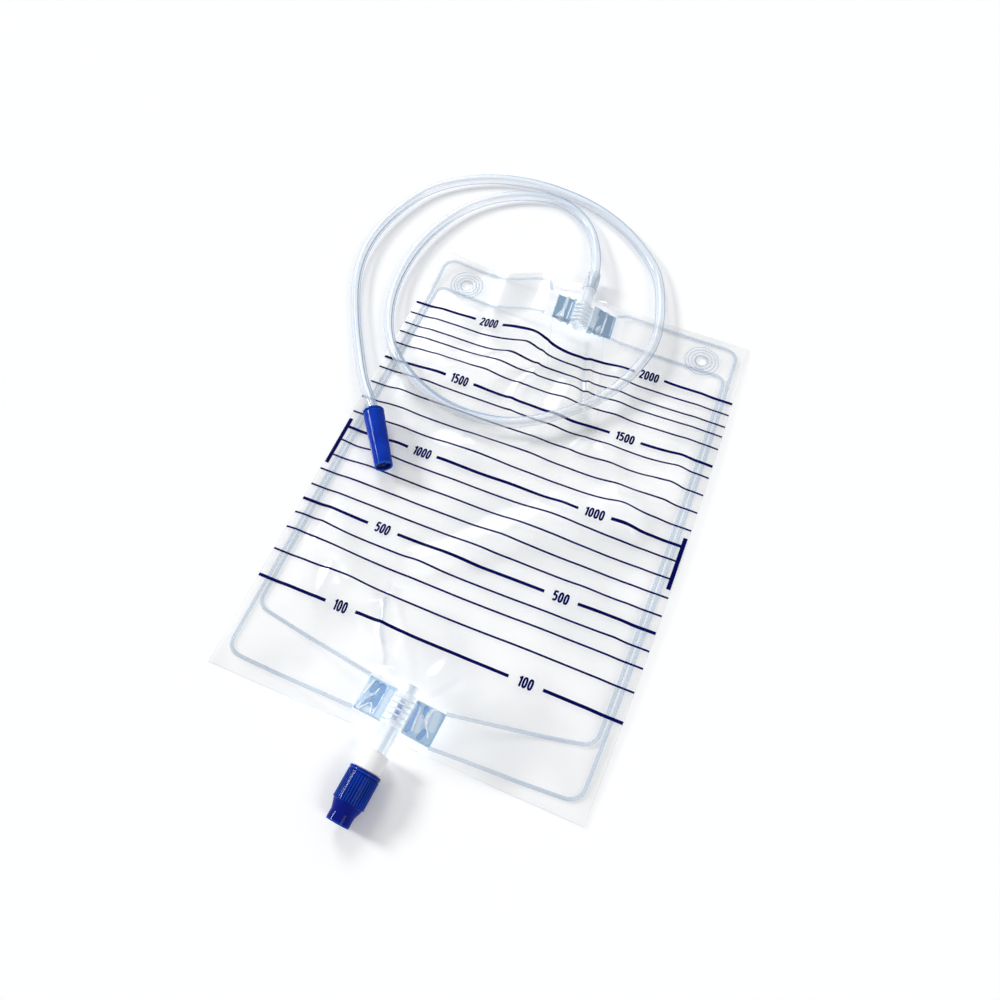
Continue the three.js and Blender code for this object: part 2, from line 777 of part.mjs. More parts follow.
// Outline of the cap's grip: square ribs and grooves, four points to each pair
function gripOutline() {
  const points = 4 * valveCap.gripRibs;
  return Array.from({ length: points }, (_, k) => {
    const radius = gripRadius - (k % 4 < 2 ? 0 : valveCap.grooveDepth);
    const angle = (k / points) * 2 * Math.PI;
    return [radius * Math.cos(angle), radius * Math.sin(angle)];
  });
}

// Collar with its neck and plug, the seal ring on the neck, and the cap that turns on the neck
function drainValve(group) {
  const socket = outlet.spoutEnd + gap;
  const neckStart = collar.start + collar.length;
  const neckEnd = neckStart + collar.neckLength;
  const neckBore = neckRadius - collar.neckWall;
  const plugEnd = neckEnd + plug.reach;
  const bar = new THREE.BoxGeometry(2 * (neckBore + lap), spoke.depth, spoke.width);
  const body = joined([
    ring(neckBore, neckRadius, neckStart - lap, neckEnd),
    ring(outlet.spoutRadius + gap, collarRadius, collar.start, socket),
    ring(neckBore, collarRadius, socket, neckStart),
    rod(plug.radius, neckEnd - plug.root, plugEnd),
    rod(plug.radius, plugEnd, plugEnd + plug.tip, plug.tipRadius),
    bar.clone().translate(0, neckEnd - spoke.at, 0),
    bar.clone().rotateY(Math.PI / 2).translate(0, neckEnd - spoke.at, 0),
  ]);
  part('valve_body', 'white', geometryOf(body), group);

  const seatAt = neckEnd + 2 * gap;
  const ringAt = seatAt - sealRing.depth - 2 * gap;
  part('valve_seal', 'seal', ring(neckRadius + gap, sealRadius, ringAt, ringAt + sealRing.depth), group);

  const start = neckStart + gap;
  const gripStart = start + valveCap.lipDepth;
  const gripEnd = gripStart + valveCap.gripDepth;
  const end = start + valveCap.length;
  const coneEnd = gripEnd + valveCap.coneDepth;
  const coneRadius = gripRadius - valveCap.coneStep;
  const nozzleRadius = coneRadius - valveCap.nozzleStep;
  const shell = joined([
    rod(gripRadius - valveCap.lipStep, start, gripStart),
    extruded(gripOutline(), gripStart - lap, gripEnd),
    rod(coneRadius, gripEnd - lap, coneEnd, nozzleRadius),
    rod(nozzleRadius, coneEnd - lap, end),
  ]);
  const hollowed = cut(shell, [
    rod(neckRadius + gap, start - overcut, seatAt),
    rod(sealRadius + gap, ringAt - gap, seatAt),
    rod(plug.radius + gap, seatAt - overcut, seatAt + valveCap.seatWall + overcut),
    rod(nozzleRadius - valveCap.nozzleWall, seatAt + valveCap.seatWall, end + overcut),
  ]);
  part('valve_cap', 'blue', geometryOf(hollowed), group);
}

function connectorAndCap() {
  const group = new THREE.Group();
  group.position.set(...capMouth);
  group.rotation.z = degrees(capHeading - 90);
  bag.add(group);

  const barrelEnd = connector.seat + connector.barrelLength;
  const tipAt = barrelEnd + connector.coneLength;
  const recessAt = cap.length - cap.recess;
  const mouthRadius = capBore + cap.wall;
  const endRadius = mouthRadius - cap.taper;
  const socketEnd = connector.seat + connector.socketDepth;
  part('tube_connector', 'clear', turned([
    [tubeHole, connector.seat],
    [barrelRadius, connector.seat],
    [barrelRadius, barrelEnd],
    [connector.coneBase, barrelEnd],
    [connector.coneTip, tipAt],
    [connector.boreRadius, tipAt],
    [connector.boreRadius, socketEnd],
    [tubeHole, socketEnd],
    [tubeHole, connector.seat],
  ]), group);

  part('connector_cap', 'blue', turned([
    [0, recessAt - cap.endWall],
    [endRadius - cap.wall, recessAt - cap.endWall],
    [capBore, 0],
    [mouthRadius - cap.bevel, 0],
    [mouthRadius, cap.bevel],
    [endRadius, cap.length],
    [endRadius - cap.wall, cap.length],
    [endRadius - cap.wall, recessAt],
    [cap.gateRadius, recessAt],
    [cap.gateRadius, recessAt + cap.gateHeight],
    [0, recessAt + cap.gateHeight],
  ]), group);
  return group;
}

// Tube from inside the cuff to the bottom of the connector's socket
function drainTube(inletGroup, capGroup) {
  inletGroup.updateMatrixWorld(true);
  capGroup.updateMatrixWorld(true);
  const start = inlet.spoutEnd + spigotLength + gap;
  const end = connector.seat + connector.socketDepth - gap;
  const leaving = tubeLeaving.map((out) => inletGroup.localToWorld(new THREE.Vector3(0, start + out, 0)));
  const entering = [...tubeEntering, end].map((out) => capGroup.localToWorld(new THREE.Vector3(0, out, 0)));
  const middle = tubeRoute.map((point) => new THREE.Vector3(...point));
  const path = new THREE.CatmullRomCurve3([...leaving, ...middle, ...entering]);
  const section = new THREE.Shape(Array.from({ length: tubeSides }, (_, k) => {
    const angle = ((k + 0.5) / tubeSides) * 2 * Math.PI;
    return new THREE.Vector2(tubeRadius * Math.cos(angle), tubeRadius * Math.sin(angle));
  }));
  part('drain_tube', 'tube', new THREE.ExtrudeGeometry(section, { steps: tubeSteps, extrudePath: path }));
}

films();
scale();
const inletGroup = fittingGroup(inlet);
inletFitting(inletGroup);
inletCuff(inletGroup);
valveSleeve();
const outletGroup = fittingGroup(outlet);
part('outlet_port', 'clear', geometryOf(fittingBody(outlet)), outletGroup);
drainValve(outletGroup);
drainTube(inletGroup, connectorAndCap());

export default bag;
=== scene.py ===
import math

import bpy
import numpy as np
from mathutils import Matrix, Vector, noise


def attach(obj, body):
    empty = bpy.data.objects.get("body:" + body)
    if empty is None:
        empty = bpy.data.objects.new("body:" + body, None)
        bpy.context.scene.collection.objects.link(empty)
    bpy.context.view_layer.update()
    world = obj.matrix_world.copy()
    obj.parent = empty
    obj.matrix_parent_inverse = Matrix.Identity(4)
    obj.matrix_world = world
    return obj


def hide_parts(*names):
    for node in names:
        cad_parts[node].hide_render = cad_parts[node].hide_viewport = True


# Urine drainage bag. Sizes are in mm, as on the part's own drawing, and mm turns them into metres.
mm = 0.001

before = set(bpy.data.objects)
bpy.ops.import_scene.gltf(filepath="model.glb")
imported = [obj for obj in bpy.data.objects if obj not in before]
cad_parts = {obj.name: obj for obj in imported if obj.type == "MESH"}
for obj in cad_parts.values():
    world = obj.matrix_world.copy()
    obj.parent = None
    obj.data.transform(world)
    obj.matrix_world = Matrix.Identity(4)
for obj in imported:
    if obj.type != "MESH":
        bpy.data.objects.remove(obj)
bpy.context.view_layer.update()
print("frame loaded:", len(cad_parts), "nodes")


shot = {
    "place": (83.7, -187.6, 420.4),
    "turn": (25.467, 0.850, 22.692),      # degrees
    "lens": 28.487,
    "sensor": 36,
}

cameraData = bpy.data.cameras.new("photoCamera")
cameraData.lens = shot["lens"]
cameraData.sensor_width = shot["sensor"]
cameraData.clip_start = 0.01
camera = bpy.data.objects.new("photoCamera", cameraData)
camera.location = Vector(shot["place"]) * mm
camera.rotation_euler = [math.radians(angle) for angle in shot["turn"]]
bpy.context.collection.objects.link(camera)
bpy.context.scene.camera = camera


class Wire:                                # a socket that can be reckoned with
    def __init__(self, nodes, socket):
        self.nodes = nodes
        self.socket = socket

    def math(self, operation, first, second):
        return self.nodes.node("ShaderNodeMath", {"operation": operation}, {0: first, 1: second})

    def __add__(self, other):
        return self.math("ADD", self, other)

    def __sub__(self, other):
        return self.math("SUBTRACT", self, other)

    def __rsub__(self, other):
        return self.math("SUBTRACT", other, self)

    def __mul__(self, other):
        return self.math("MULTIPLY", self, other)

    __radd__ = __add__
    __rmul__ = __mul__

    def between(self, low, high, start=0.0, end=1.0):
        settings = {"interpolation_type": "SMOOTHSTEP"}
        values = {"Value": self, "From Min": low, "From Max": high, "To Min": start, "To Max": end}
        return self.nodes.node("ShaderNodeMapRange", settings, values)


class NodeSet:                             # the nodes of one material, or of the world
    def __init__(self, owner):
        owner.use_nodes = True
        self.tree = owner.node_tree

    def node(self, kind, settings=None, values=None, out=0):
        made = self.tree.nodes.new(kind)
        for key, value in (settings or {}).items():
            setattr(made, key, value)
        for key, value in (values or {}).items():
            if isinstance(value, Wire):
                self.tree.links.new(value.socket, made.inputs[key])
            else:
                made.inputs[key].default_value = value
        return Wire(self, made.outputs[out])


class Paint(NodeSet):                      # a material built round one Principled shader
    def __init__(self, name, finish):
        self.material = bpy.data.materials.new(name)
        super().__init__(self.material)
        self.shader = self.tree.nodes["Principled BSDF"]
        for socket, value in finish.items():
            self.shader.inputs[socket].default_value = value

    def mix(self, share, first, second):
        first, second = [value if isinstance(value, Wire) else (*value, 1) for value in (first, second)]
        return self.node("ShaderNodeMix", {"data_type": "RGBA"}, {0: share, 6: first, 7: second}, 2)

    def clouds(self, size, detail=3.0, rough=0.5):      # size in metres, as modelled
        spot = self.node("ShaderNodeTexCoord", out=3)
        values = {"Vector": spot, "Scale": 1 / size, "Detail": detail, "Roughness": rough}
        return self.node("ShaderNodeTexNoise", None, values)

    def mask(self, name):                  # a number kept on the mesh's points
        return self.node("ShaderNodeAttribute", {"attribute_name": name}, out=2)

    def edgeOn(self, blend):
        return self.node("ShaderNodeLayerWeight", None, {"Blend": blend}, out=1)

    def bump(self, height, depth, strength):
        return self.node("ShaderNodeBump", None, {"Height": height, "Distance": depth, "Strength": strength})

    def feed(self, **wires):
        for socket, wire in wires.items():
            self.tree.links.new(wire.socket, self.shader.inputs[socket.replace("_", " ")])
        return self.material


def filmFinish():                          # it mirrors a little and lets the rest through
    look = {
        "clear": (0.74, 0.77, 0.80), "haze": (0.50, 0.54, 0.58), "thin": 0.018, "cloudy": 0.052, "slope": 0.36,
        "rim": 0.3, "fold": (0.10, 0.22, 0.42), "foldCover": 0.3, "tuckShade": (0.42, 0.50, 0.60), "tuckCover": 0.34,
    }
    paint = Paint("clearFilm", {"IOR": 1.5, "Metallic": 1.0})
    broad = paint.clouds(0.05, 2).between(0.35, 0.65)
    fine = paint.clouds(0.02, 2, 0.4)
    clear = paint.mix(broad, look["clear"], look["haze"])
    # painted grey shade along folds where the film lies double
    tuckShaded = paint.mix(paint.mask("doubled"), clear, look["tuckShade"])
    slope = paint.edgeOn(0.5).between(0.2, 0.75, 0.0, look["slope"])
    veil = slope + broad.between(0, 1, look["thin"], look["cloudy"])
    # a blue grey line of painted shade runs along one fold
    return paint.feed(
        Base_Color=paint.mix(paint.mask("fold"), tuckShaded, look["fold"]),
        Roughness=fine.between(0.3, 0.7, 0.15, 0.22),
        Alpha=veil + paint.mask("rim") * look["rim"] + paint.mask("fold") * look["foldCover"]
        + paint.mask("doubled") * look["tuckCover"],
        Normal=paint.bump(fine, 0.00003, 0.2),
    )


def sleeveFinish():
    look = {"clear": (0.78, 0.81, 0.84), "haze": (0.62, 0.66, 0.70), "cover": (0.006, 0.02), "slope": 0.12}
    paint = Paint("sleeveFilm", {"IOR": 1.5, "Metallic": 1.0})
    broad = paint.clouds(0.012, 3).between(0.35, 0.7)
    return paint.feed(
        Base_Color=paint.mix(broad, look["clear"], look["haze"]),
        Roughness=broad.between(0, 1, 0.08, 0.16),
        Alpha=paint.edgeOn(0.5).between(0.3, 1.0, 0.0, look["slope"]) + broad.between(0, 1, *look["cover"]),
    )


def mottled(name, look):                   # two near colours in patches, and a grain in the gloss
    paint = Paint(name, {"IOR": look["ior"], "Specular IOR Level": look["gloss"]})
    patches, grain = paint.clouds(*look["patches"]), paint.clouds(*look["grain"])
    if "cover" in look:
        paint.feed(Alpha=grain.between(0.3, 0.7, *look["cover"]))
    if "relief" in look:
        paint.feed(Normal=paint.bump(grain, *look["relief"]))
    return paint.feed(
        Base_Color=paint.mix(patches.between(*look["spread"]), *look["colours"]),
        Roughness=grain.between(0.3, 0.7, *look["rough"]),
    )


def tubeFinish():                          # clear, with painted light and shade bands along it in place of the light its wall bends and mirrors
    look = {
        "white": (0.96, 0.98, 1.0), "pale": (0.58, 0.73, 0.92), "line": (0.14, 0.25, 0.45),
        "thin": 0.3, "full": 0.95,
    }
    paint = Paint("clearTube", {"IOR": 1.6, "Specular IOR Level": 0.7})
    band = paint.mask("band")
    cloudy = paint.clouds(0.03, 2)
    pale = paint.mix(band.between(0.0, 0.45), look["white"], look["pale"])
    return paint.feed(
        Base_Color=paint.mix(band.between(0.45, 1.0), pale, look["line"]),
        Roughness=cloudy.between(0.3, 0.7, 0.08, 0.12),
        Alpha=(band.between(0.0, 1.0, look["thin"], look["full"]) + cloudy.between(0.3, 0.7, 0.0, 0.03))
        * (1 - paint.mask("under") * 0.9),
    )


def fittingFinish():
    look = {
        "steel": (0.46, 0.62, 0.78), "sky": (0.44, 0.65, 0.87), "shadedSteel": (0.27, 0.41, 0.56),
        "shadedSky": (0.23, 0.40, 0.66), "pale": (0.95, 0.98, 1.0), "core": (0.05, 0.17, 0.46),
    }
    paint = Paint("clearBlueMoulding", {"IOR": 1.5, "Specular IOR Level": 0.4})
    grain = paint.clouds(0.005, 3)
    body = paint.mix(paint.mask("sky"), look["steel"], look["sky"])
    body = paint.mix(grain.between(0.3, 0.7, 0.0, 0.16), body, look["pale"])
    # painted shade: the wells and the gaps between the rings take a darker blue
    wellShade = paint.mix(paint.mask("sky"), look["shadedSteel"], look["shadedSky"])
    shadedWells = paint.mix(paint.mask("deep"), body, wellShade)
    # painted highlights on the raised lines, pads and ring tops
    lit = paint.mix(paint.mask("pale"), shadedWells, look["pale"])
    return paint.feed(
        # painted dark shade of the bore seen through the clear wall
        Base_Color=paint.mix(paint.mask("core"), lit, look["core"]),
        Roughness=grain.between(0.3, 0.7, 0.10, 0.18),
        Alpha=0.9 - paint.mask("thin") * 0.45,
        Normal=paint.bump(grain, 0.00005, 0.3),
    )


def connectorFinish():
    look = {"clear": (0.62, 0.72, 0.84), "pale": (0.80, 0.86, 0.93)}
    paint = Paint("clearConnector", {"IOR": 1.7, "Specular IOR Level": 0.8})
    streaks = paint.clouds(0.004, 3)
    return paint.feed(
        Base_Color=paint.mix(streaks.between(0.35, 0.65), look["clear"], look["pale"]),
        Roughness=streaks.between(0.3, 0.7, 0.08, 0.16),
        Alpha=paint.edgeOn(0.5).between(0.1, 0.8, 0.35, 0.75),
    )


def bluePlastic(name, look):
    paint = Paint(name, {"IOR": 1.5, "Specular IOR Level": look["gloss"]})
    broad = paint.clouds(0.012, 2)
    grain = paint.clouds(0.0011, 4, 0.6)
    body = paint.mix(broad.between(0.3, 0.7), look["deep"], look["bright"])
    # painted shade: recesses take a darker blue
    shaded = paint.mix(paint.mask("recess"), body, look["recess"])
    return paint.feed(
        # painted highlights on edges and rib tops
        Base_Color=paint.mix(paint.mask("edge"), shaded, look["edge"]),
        Roughness=grain.between(0.3, 0.7, *look["rough"]),
        Normal=paint.bump(grain, 0.00001, 0.2),
    )


finishes = {
    "film": filmFinish(),
    "sleeve": sleeveFinish(),
    "weld": mottled("pressedWeld", {
        "ior": 1.5, "gloss": 0.2, "colours": ((0.27, 0.41, 0.58), (0.40, 0.54, 0.70)), "spread": (0.3, 0.7),
        "patches": (0.02, 2, 0.4), "grain": (0.02, 2, 0.4), "rough": (0.3, 0.4), "cover": (0.38, 0.48)}),
    "seam": mottled("sleeveSeam", {
        "ior": 1.6, "gloss": 0.8, "colours": ((0.84, 0.88, 0.92), (0.93, 0.95, 0.98)), "spread": (0.35, 0.65),
        "patches": (0.012, 3), "grain": (0.012, 3), "rough": (0.15, 0.25), "cover": (0.12, 0.2)}),
    "ink": mottled("navyPrint", {
        "ior": 1.45, "gloss": 0.03, "colours": ((0.0005, 0.0018, 0.068), (0.001, 0.003, 0.095)),
        "spread": (0.35, 0.65), "patches": (0.02, 2), "grain": (0.0012, 4, 0.7), "rough": (0.4, 0.55)}),
    "tube": tubeFinish(),
    "fitting": fittingFinish(),
    "connector": connectorFinish(),
    "white": mottled("whiteMoulding", {
        "ior": 1.49, "gloss": 0.4, "colours": ((0.985, 0.985, 0.99), (0.96, 0.965, 0.975)),
        "spread": (0.35, 0.65), "patches": (0.009, 2), "grain": (0.0016, 4, 0.6), "rough": (0.32, 0.42),
        "relief": (0.00003, 0.3)}),
    "valveBlue": bluePlastic("blueValveCap", {
        "deep": (0.0004, 0.005, 0.18), "bright": (0.0008, 0.013, 0.28), "edge": (0.004, 0.085, 0.50),
        "recess": (0.0004, 0.001, 0.03), "gloss": 0.07, "rough": (0.04, 0.07)}),
    "capBlue": bluePlastic("blueTubeCap", {
        "deep": (0.001, 0.028, 0.36), "bright": (0.002, 0.044, 0.47), "edge": (0.008, 0.12, 0.62),
        "recess": (0.0005, 0.005, 0.085), "gloss": 0.07, "rough": (0.04, 0.07)}),
    "seal": mottled("sealRubber", {
        "ior": 1.43, "gloss": 0.3, "colours": ((0.55, 0.58, 0.61), (0.62, 0.65, 0.68)), "spread": (0.3, 0.7),
        "patches": (0.0008, 4, 0.6), "grain": (0.0008, 4, 0.6), "rough": (0.5, 0.65), "relief": (0.00004, 0.4)}),
}
print("finishes:", len(finishes))


def smooth(t):
    t = np.clip(t, 0, 1)
    return t * t * (3 - 2 * t)


def makePiece(name, points, faces, paints, body, replaced=(), paintOf=None, masks=None, bend=40):
    used = np.unique(np.concatenate([np.asarray(face) for face in faces]))
    place = np.zeros(len(points), int)
    place[used] = np.arange(len(used))
    mesh = bpy.data.meshes.new(name)
    corners = (np.asarray(points, float)[used] * mm).tolist()
    mesh.from_pydata(corners, [], [place[list(face)].tolist() for face in faces])
    for paint in paints:
        mesh.materials.append(finishes[paint])
    if paintOf is not None:
        mesh.polygons.foreach_set("material_index", np.asarray(paintOf, np.int32))
    for mask, values in (masks or {}).items():
        layer = mesh.attributes.new(mask, "FLOAT", "POINT")
        layer.data.foreach_set("value", np.asarray(values, np.float32)[used])
    mesh.validate()
    mesh.update()
    piece = bpy.data.objects.new(name, mesh)
    bpy.context.collection.objects.link(piece)
    mesh.shade_smooth()
    if bend < 180:
        mesh.set_sharp_from_angle(angle=math.radians(bend))
    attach(piece, body)
    if replaced:
        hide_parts(*replaced)
    return piece


def gridFaces(rows, columns, start=0, loopRows=False, loopColumns=False):
    faces = []
    for row in range(rows if loopRows else rows - 1):
        for column in range(columns if loopColumns else columns - 1):
            a = start + row * columns + column
            b = start + row * columns + (column + 1) % columns
            c = start + ((row + 1) % rows) * columns + (column + 1) % columns
            d = start + ((row + 1) % rows) * columns + column
            faces.append((a, b, c, d))
    return faces


class Heap:                                # several shells gathered into one mesh
    def __init__(self):
        self.points, self.faces, self.paints, self.masks = [], [], [], {}

    def add(self, points, faces, paint=0, **masks):
        start = len(self.points)
        self.points.extend(np.asarray(points, float).tolist())
        self.faces.extend([[start + k for k in face] for face in faces])
        self.paints.extend(np.broadcast_to(paint, (len(faces),)).tolist())
        for name in set(self.masks) | set(masks):
            kept = self.masks.setdefault(name, [])
            kept.extend([0.0] * (start - len(kept)))
            kept.extend(np.broadcast_to(masks.get(name, 0.0), (len(points),)).tolist())

    def piece(self, name, paints, body, slot, replaced, bend=40):
        return makePiece(name, self.points, self.faces, paints, body, replaced, self.paints, self.masks,
                         bend)


def softened(profile, radius=0.3, steps=3):            # (radius, out) points with their corners rounded
    points = [np.array(point, float) for point in profile]
    result = []
    for k, corner in enumerate(points):
        if k in (0, len(points) - 1):
            result.append(corner)
            continue
        before, after = points[k - 1] - corner, points[k + 1] - corner
        reach = min(radius, np.linalg.norm(before) / 2.1, np.linalg.norm(after) / 2.1)
        start = corner + before / np.linalg.norm(before) * reach
        end = corner + after / np.linalg.norm(after) * reach
        for t in np.linspace(0, 1, steps + 1):
            result.append((1 - t) ** 2 * start + 2 * t * (1 - t) * corner + t * t * end)
    return result


def stepped(profile, longest=1.2):         # more rings along the straight runs
    result = [profile[0]]
    for start, end in zip(profile, profile[1:]):
        count = max(1, math.ceil(math.dist(start, end) / longest))
        result += [np.add(start, np.subtract(end, start) * (k + 1) / count) for k in range(count)]
    return result


def turned(profile, sides=64, closed=True, shape=None):  # lathe round +Y: (radius, out) points
    angles = np.linspace(0, 2 * math.pi, sides, endpoint=False)
    points = []
    for radius, out in profile:
        reach = radius if shape is None else shape(radius, out, angles)
        ring = np.stack([reach * np.cos(angles), np.full(sides, out), reach * np.sin(angles)], 1)
        points.append(ring)
    faces = gridFaces(len(profile), sides, loopRows=closed, loopColumns=True)
    return np.concatenate(points), faces


def placed(matrix, points):
    turn = np.array(matrix.to_3x3())
    return np.asarray(points, float) @ turn.T + np.array(matrix.translation)


def catmullRom(points, spacing):           # centripetal, resampled at even steps
    points = np.asarray(points, float)
    ends = [2 * points[0] - points[1], *points, 2 * points[-1] - points[-2]]
    fine = []
    for p0, p1, p2, p3 in zip(ends, ends[1:], ends[2:], ends[3:]):
        t0 = 0
        t1 = t0 + np.linalg.norm(p1 - p0) ** 0.5
        t2 = t1 + np.linalg.norm(p2 - p1) ** 0.5
        t3 = t2 + np.linalg.norm(p3 - p2) ** 0.5
        for t in np.linspace(t1, t2, 24, endpoint=False):
            a1 = (t1 - t) / (t1 - t0) * p0 + (t - t0) / (t1 - t0) * p1
            a2 = (t2 - t) / (t2 - t1) * p1 + (t - t1) / (t2 - t1) * p2
            a3 = (t3 - t) / (t3 - t2) * p2 + (t - t2) / (t3 - t2) * p3
            b1 = (t2 - t) / (t2 - t0) * a1 + (t - t0) / (t2 - t0) * a2
            b2 = (t3 - t) / (t3 - t1) * a2 + (t - t1) / (t3 - t1) * a3
            fine.append((t2 - t) / (t2 - t1) * b1 + (t - t1) / (t2 - t1) * b2)
    fine.append(points[-1])
    fine = np.array(fine)
    run = np.concatenate([[0], np.cumsum(np.linalg.norm(np.diff(fine, axis=0), axis=1))])
    stations = np.linspace(0, run[-1], int(run[-1] / spacing) + 1)
    return np.stack([np.interp(stations, run, fine[:, k]) for k in range(fine.shape[1])], 1), run[-1]


film = {
    "halfWidth": 107.5, "halfLength": 154, "wall": 0.2, "gap": 0.3,
    "rightBow": 2.8, "bowStart": 30, "rightLift": 2, "rightLiftWidth": 27, "cornerLift": 3.5,
    "cornerReach": 34, "pouchRamp": 12, "pouchHeight": 1.6, "clearance": 0.45,
}
outerWeld = {"side": 5.9, "top": 5.4, "bottom": 9.4, "corner": 9, "shoulder": 5}
innerWeld = {"side": 9, "top": 27.4, "bottom": 38, "corner": 7, "funnel": 12}
fitting = {"length": 18.5, "halfWidth": 22.5, "wingInner": 6.2, "wingTip": 0.7}
# between and core set painted shade between the rings and along the bore; the figure after core sets painted
# shade along the wings' inner lower edge
inlet = {
    "x": 0, "y": 133.5, "z": 7.6, "yaw": 6, "roll": 14, "ringHalf": 4.5, "wingHalf": 3.8, "tubeRadius": 4,
    "bore": 1.9, "spoutRadius": 4.35, "spoutEnd": 21.3, "spigotRadius": 2.6, "spigotLength": 10.7,
    "sky": 0.15, "between": 0.2, "lightness": 0.7, "core": 0.12, "outline": 0.7, "clearFrom": 17.6,
}
outlet = {
    "x": 1, "y": -139, "z": 8.7, "yaw": 175.5, "roll": 0, "ringHalf": 5.6, "wingHalf": 4.5,
    "tubeRadius": 4.7, "bore": 2.6, "spoutRadius": 5.3, "spoutEnd": 30.9, "stub": 5,
    "sky": 1.0, "between": 0.1, "lightness": 0.85, "core": 0.95, "outline": 0.2, "clearFrom": 99,
}
fittingEnd = fitting["length"] / 2
restHeight = film["wall"] + film["gap"] / 2


def standing(port):
    yaw, roll = math.radians(port["yaw"]), math.radians(port["roll"])
    turn = Matrix.Rotation(yaw, 4, "Z") @ Matrix.Rotation(roll, 4, "Y")
    return Matrix.Translation((port["x"], port["y"], port["z"])) @ turn


inletPlace = standing(inlet)
outletPlace = standing(outlet)
capRest = {"place": (-92.2, 17.1, 9.9), "turn": -144.4}
capPlace = Matrix.Translation(capRest["place"]) @ Matrix.Rotation(math.radians(capRest["turn"]), 4, "Z")


tube = {
    "radius": 3.25, "sides": 64, "spacing": 1.7, "easing": 30, "length": 0.984,
    "leaving": (32.3, 36.3, 41.3), "entering": (-5, 1, 10.3),
    "route": [
        (-8.2, 186, 5.6), (-14.4, 200, 3.9), (-24.5, 213.6, 3.3), (-44.6, 225.6, 3.3), (-66, 225.4, 3.3),
        (-91, 213.8, 3.3), (-109, 195.6, 3.3), (-122, 168, 3.3), (-126.8, 139, 3.3), (-124.4, 110, 3.7),
        (-116.6, 86.4, 5), (-103.6, 65.6, 7), (-86, 51.4, 7.6), (-66, 41.6, 7.6), (-45, 37.2, 7.8),
        (-24, 38.2, 8.2), (-8, 42.6, 8.6), (7.4, 52.2, 9.2), (20.4, 63.6, 9.2), (31.6, 76.2, 8.6),
        (40.4, 91, 8.8), (46.6, 107.6, 8.6), (50, 123.6, 7.4), (49.8, 141, 6), (45, 162, 4.6),
        (34.7, 188, 3.3), (18.1, 205.8, 3.3), (-4, 221.4, 3.3), (-28, 231, 3.3), (-48.4, 234.6, 3.3),
        (-72, 235.4, 3.3), (-106, 227.6, 3.3), (-138, 205.6, 3.3), (-154.6, 172, 3.3), (-158.8, 140.6, 3.3),
        (-153.4, 112.4, 3.3), (-139, 82, 3.3), (-121, 53, 4.2), (-106.4, 32.6, 7.4),
    ],
}


bands = {                                  # how strong the painted light and shade lines of a clear wall are, and the fixed way they lean
    "lean": (0.25, -0.57, 0.78), "lineSide": (0.8, 0.6, 0),
    "core": 0.38, "line": 0.95, "faint": 0.55, "rim": 0.85, "top": 0.75,
}


def hoseShell(path, radius, sides):
    ahead = np.gradient(path, axis=0)
    ahead /= np.linalg.norm(ahead, axis=1)[:, None]
    side = np.cross(ahead, bands["lean"])
    side /= np.linalg.norm(side, axis=1)[:, None]
    up = np.cross(side, ahead)
    angles = np.linspace(0, 2 * math.pi, sides, endpoint=False)
    ring = side[:, None] * np.cos(angles)[None, :, None] + up[:, None] * np.sin(angles)[None, :, None]
    return (path[:, None] + radius * ring).reshape(-1, 3), ring, ahead[:, None]


def wallBands(outward, ahead):             # painted light and shade lines along a clear round wall, kept with the mesh
    across = np.cross(ahead, bands["lean"])
    across = across / np.linalg.norm(across, axis=-1, keepdims=True)
    side = np.sum(outward * across, -1)
    lineSide = side * (across @ bands["lineSide"])
    upper = side * across[..., 1] * np.abs(across[..., 1])
    far = np.abs(side)
    return np.max([
        bands["core"] * (1 - smooth((far - 0.2) / 0.2)),
        bands["line"] * np.exp(-((far - 0.7) / 0.12) ** 2) * smooth((lineSide - 0.1) / 0.3),
        bands["faint"] * np.exp(-((far - 0.64) / 0.12) ** 2) * smooth((-0.3 - lineSide) / 0.3),
        # painted shade on the wall's upper side
        bands["top"] * np.exp(-((upper - 0.55) / 0.22) ** 2),
        bands["rim"] * smooth((far - 0.88) / 0.1),
    ], 0)


def drainTube():
    start = [placed(inletPlace, [(0, out, 0)])[0] for out in tube["leaving"]]
    end = [placed(capPlace, [(0, out, 0)])[0] for out in tube["entering"]]
    path, length = catmullRom([*start, *tube["route"], *end], tube["spacing"])
    for _ in range(tube["easing"]):        # evens out the bends between the route's points
        path[4:-4] = (path[3:-5] + 2 * path[4:-4] + path[5:-3]) / 4
    points, outward, ahead = hoseShell(path, tube["radius"], tube["sides"])
    faces = [face[::-1] for face in gridFaces(len(path), tube["sides"], loopColumns=True)]
    piece = makePiece("drain_hose", points, faces, ["tube"], "bag", ["drain_tube"],
                      masks={"band": np.ravel(wallBands(outward, ahead)),
                             "under": np.ravel(smooth(0.5 - 3 * (outward @ bands["lean"])))})
    print("tube length", round(length, 1), "mm")
    return piece, path


hose, hosePath = drainTube()


connector = {"seat": 0.6, "hole": 3.55, "barrel": 4.7, "barrelEnd": 13, "socketEnd": 10.6,
             "coneBase": 4.2, "coneTip": 3, "tip": 33, "bore": 2, "ribs": (3.2, 5.4, 7.6)}
tubeCap = {"length": 40, "wall": 1.1, "mouth": 6.5, "end": 5.4, "bore": 5.4, "bevel": 0.9,
           "recess": 1.3, "endWall": 1.6, "gate": 0.6, "gateHeight": 0.35, "sides": 72}


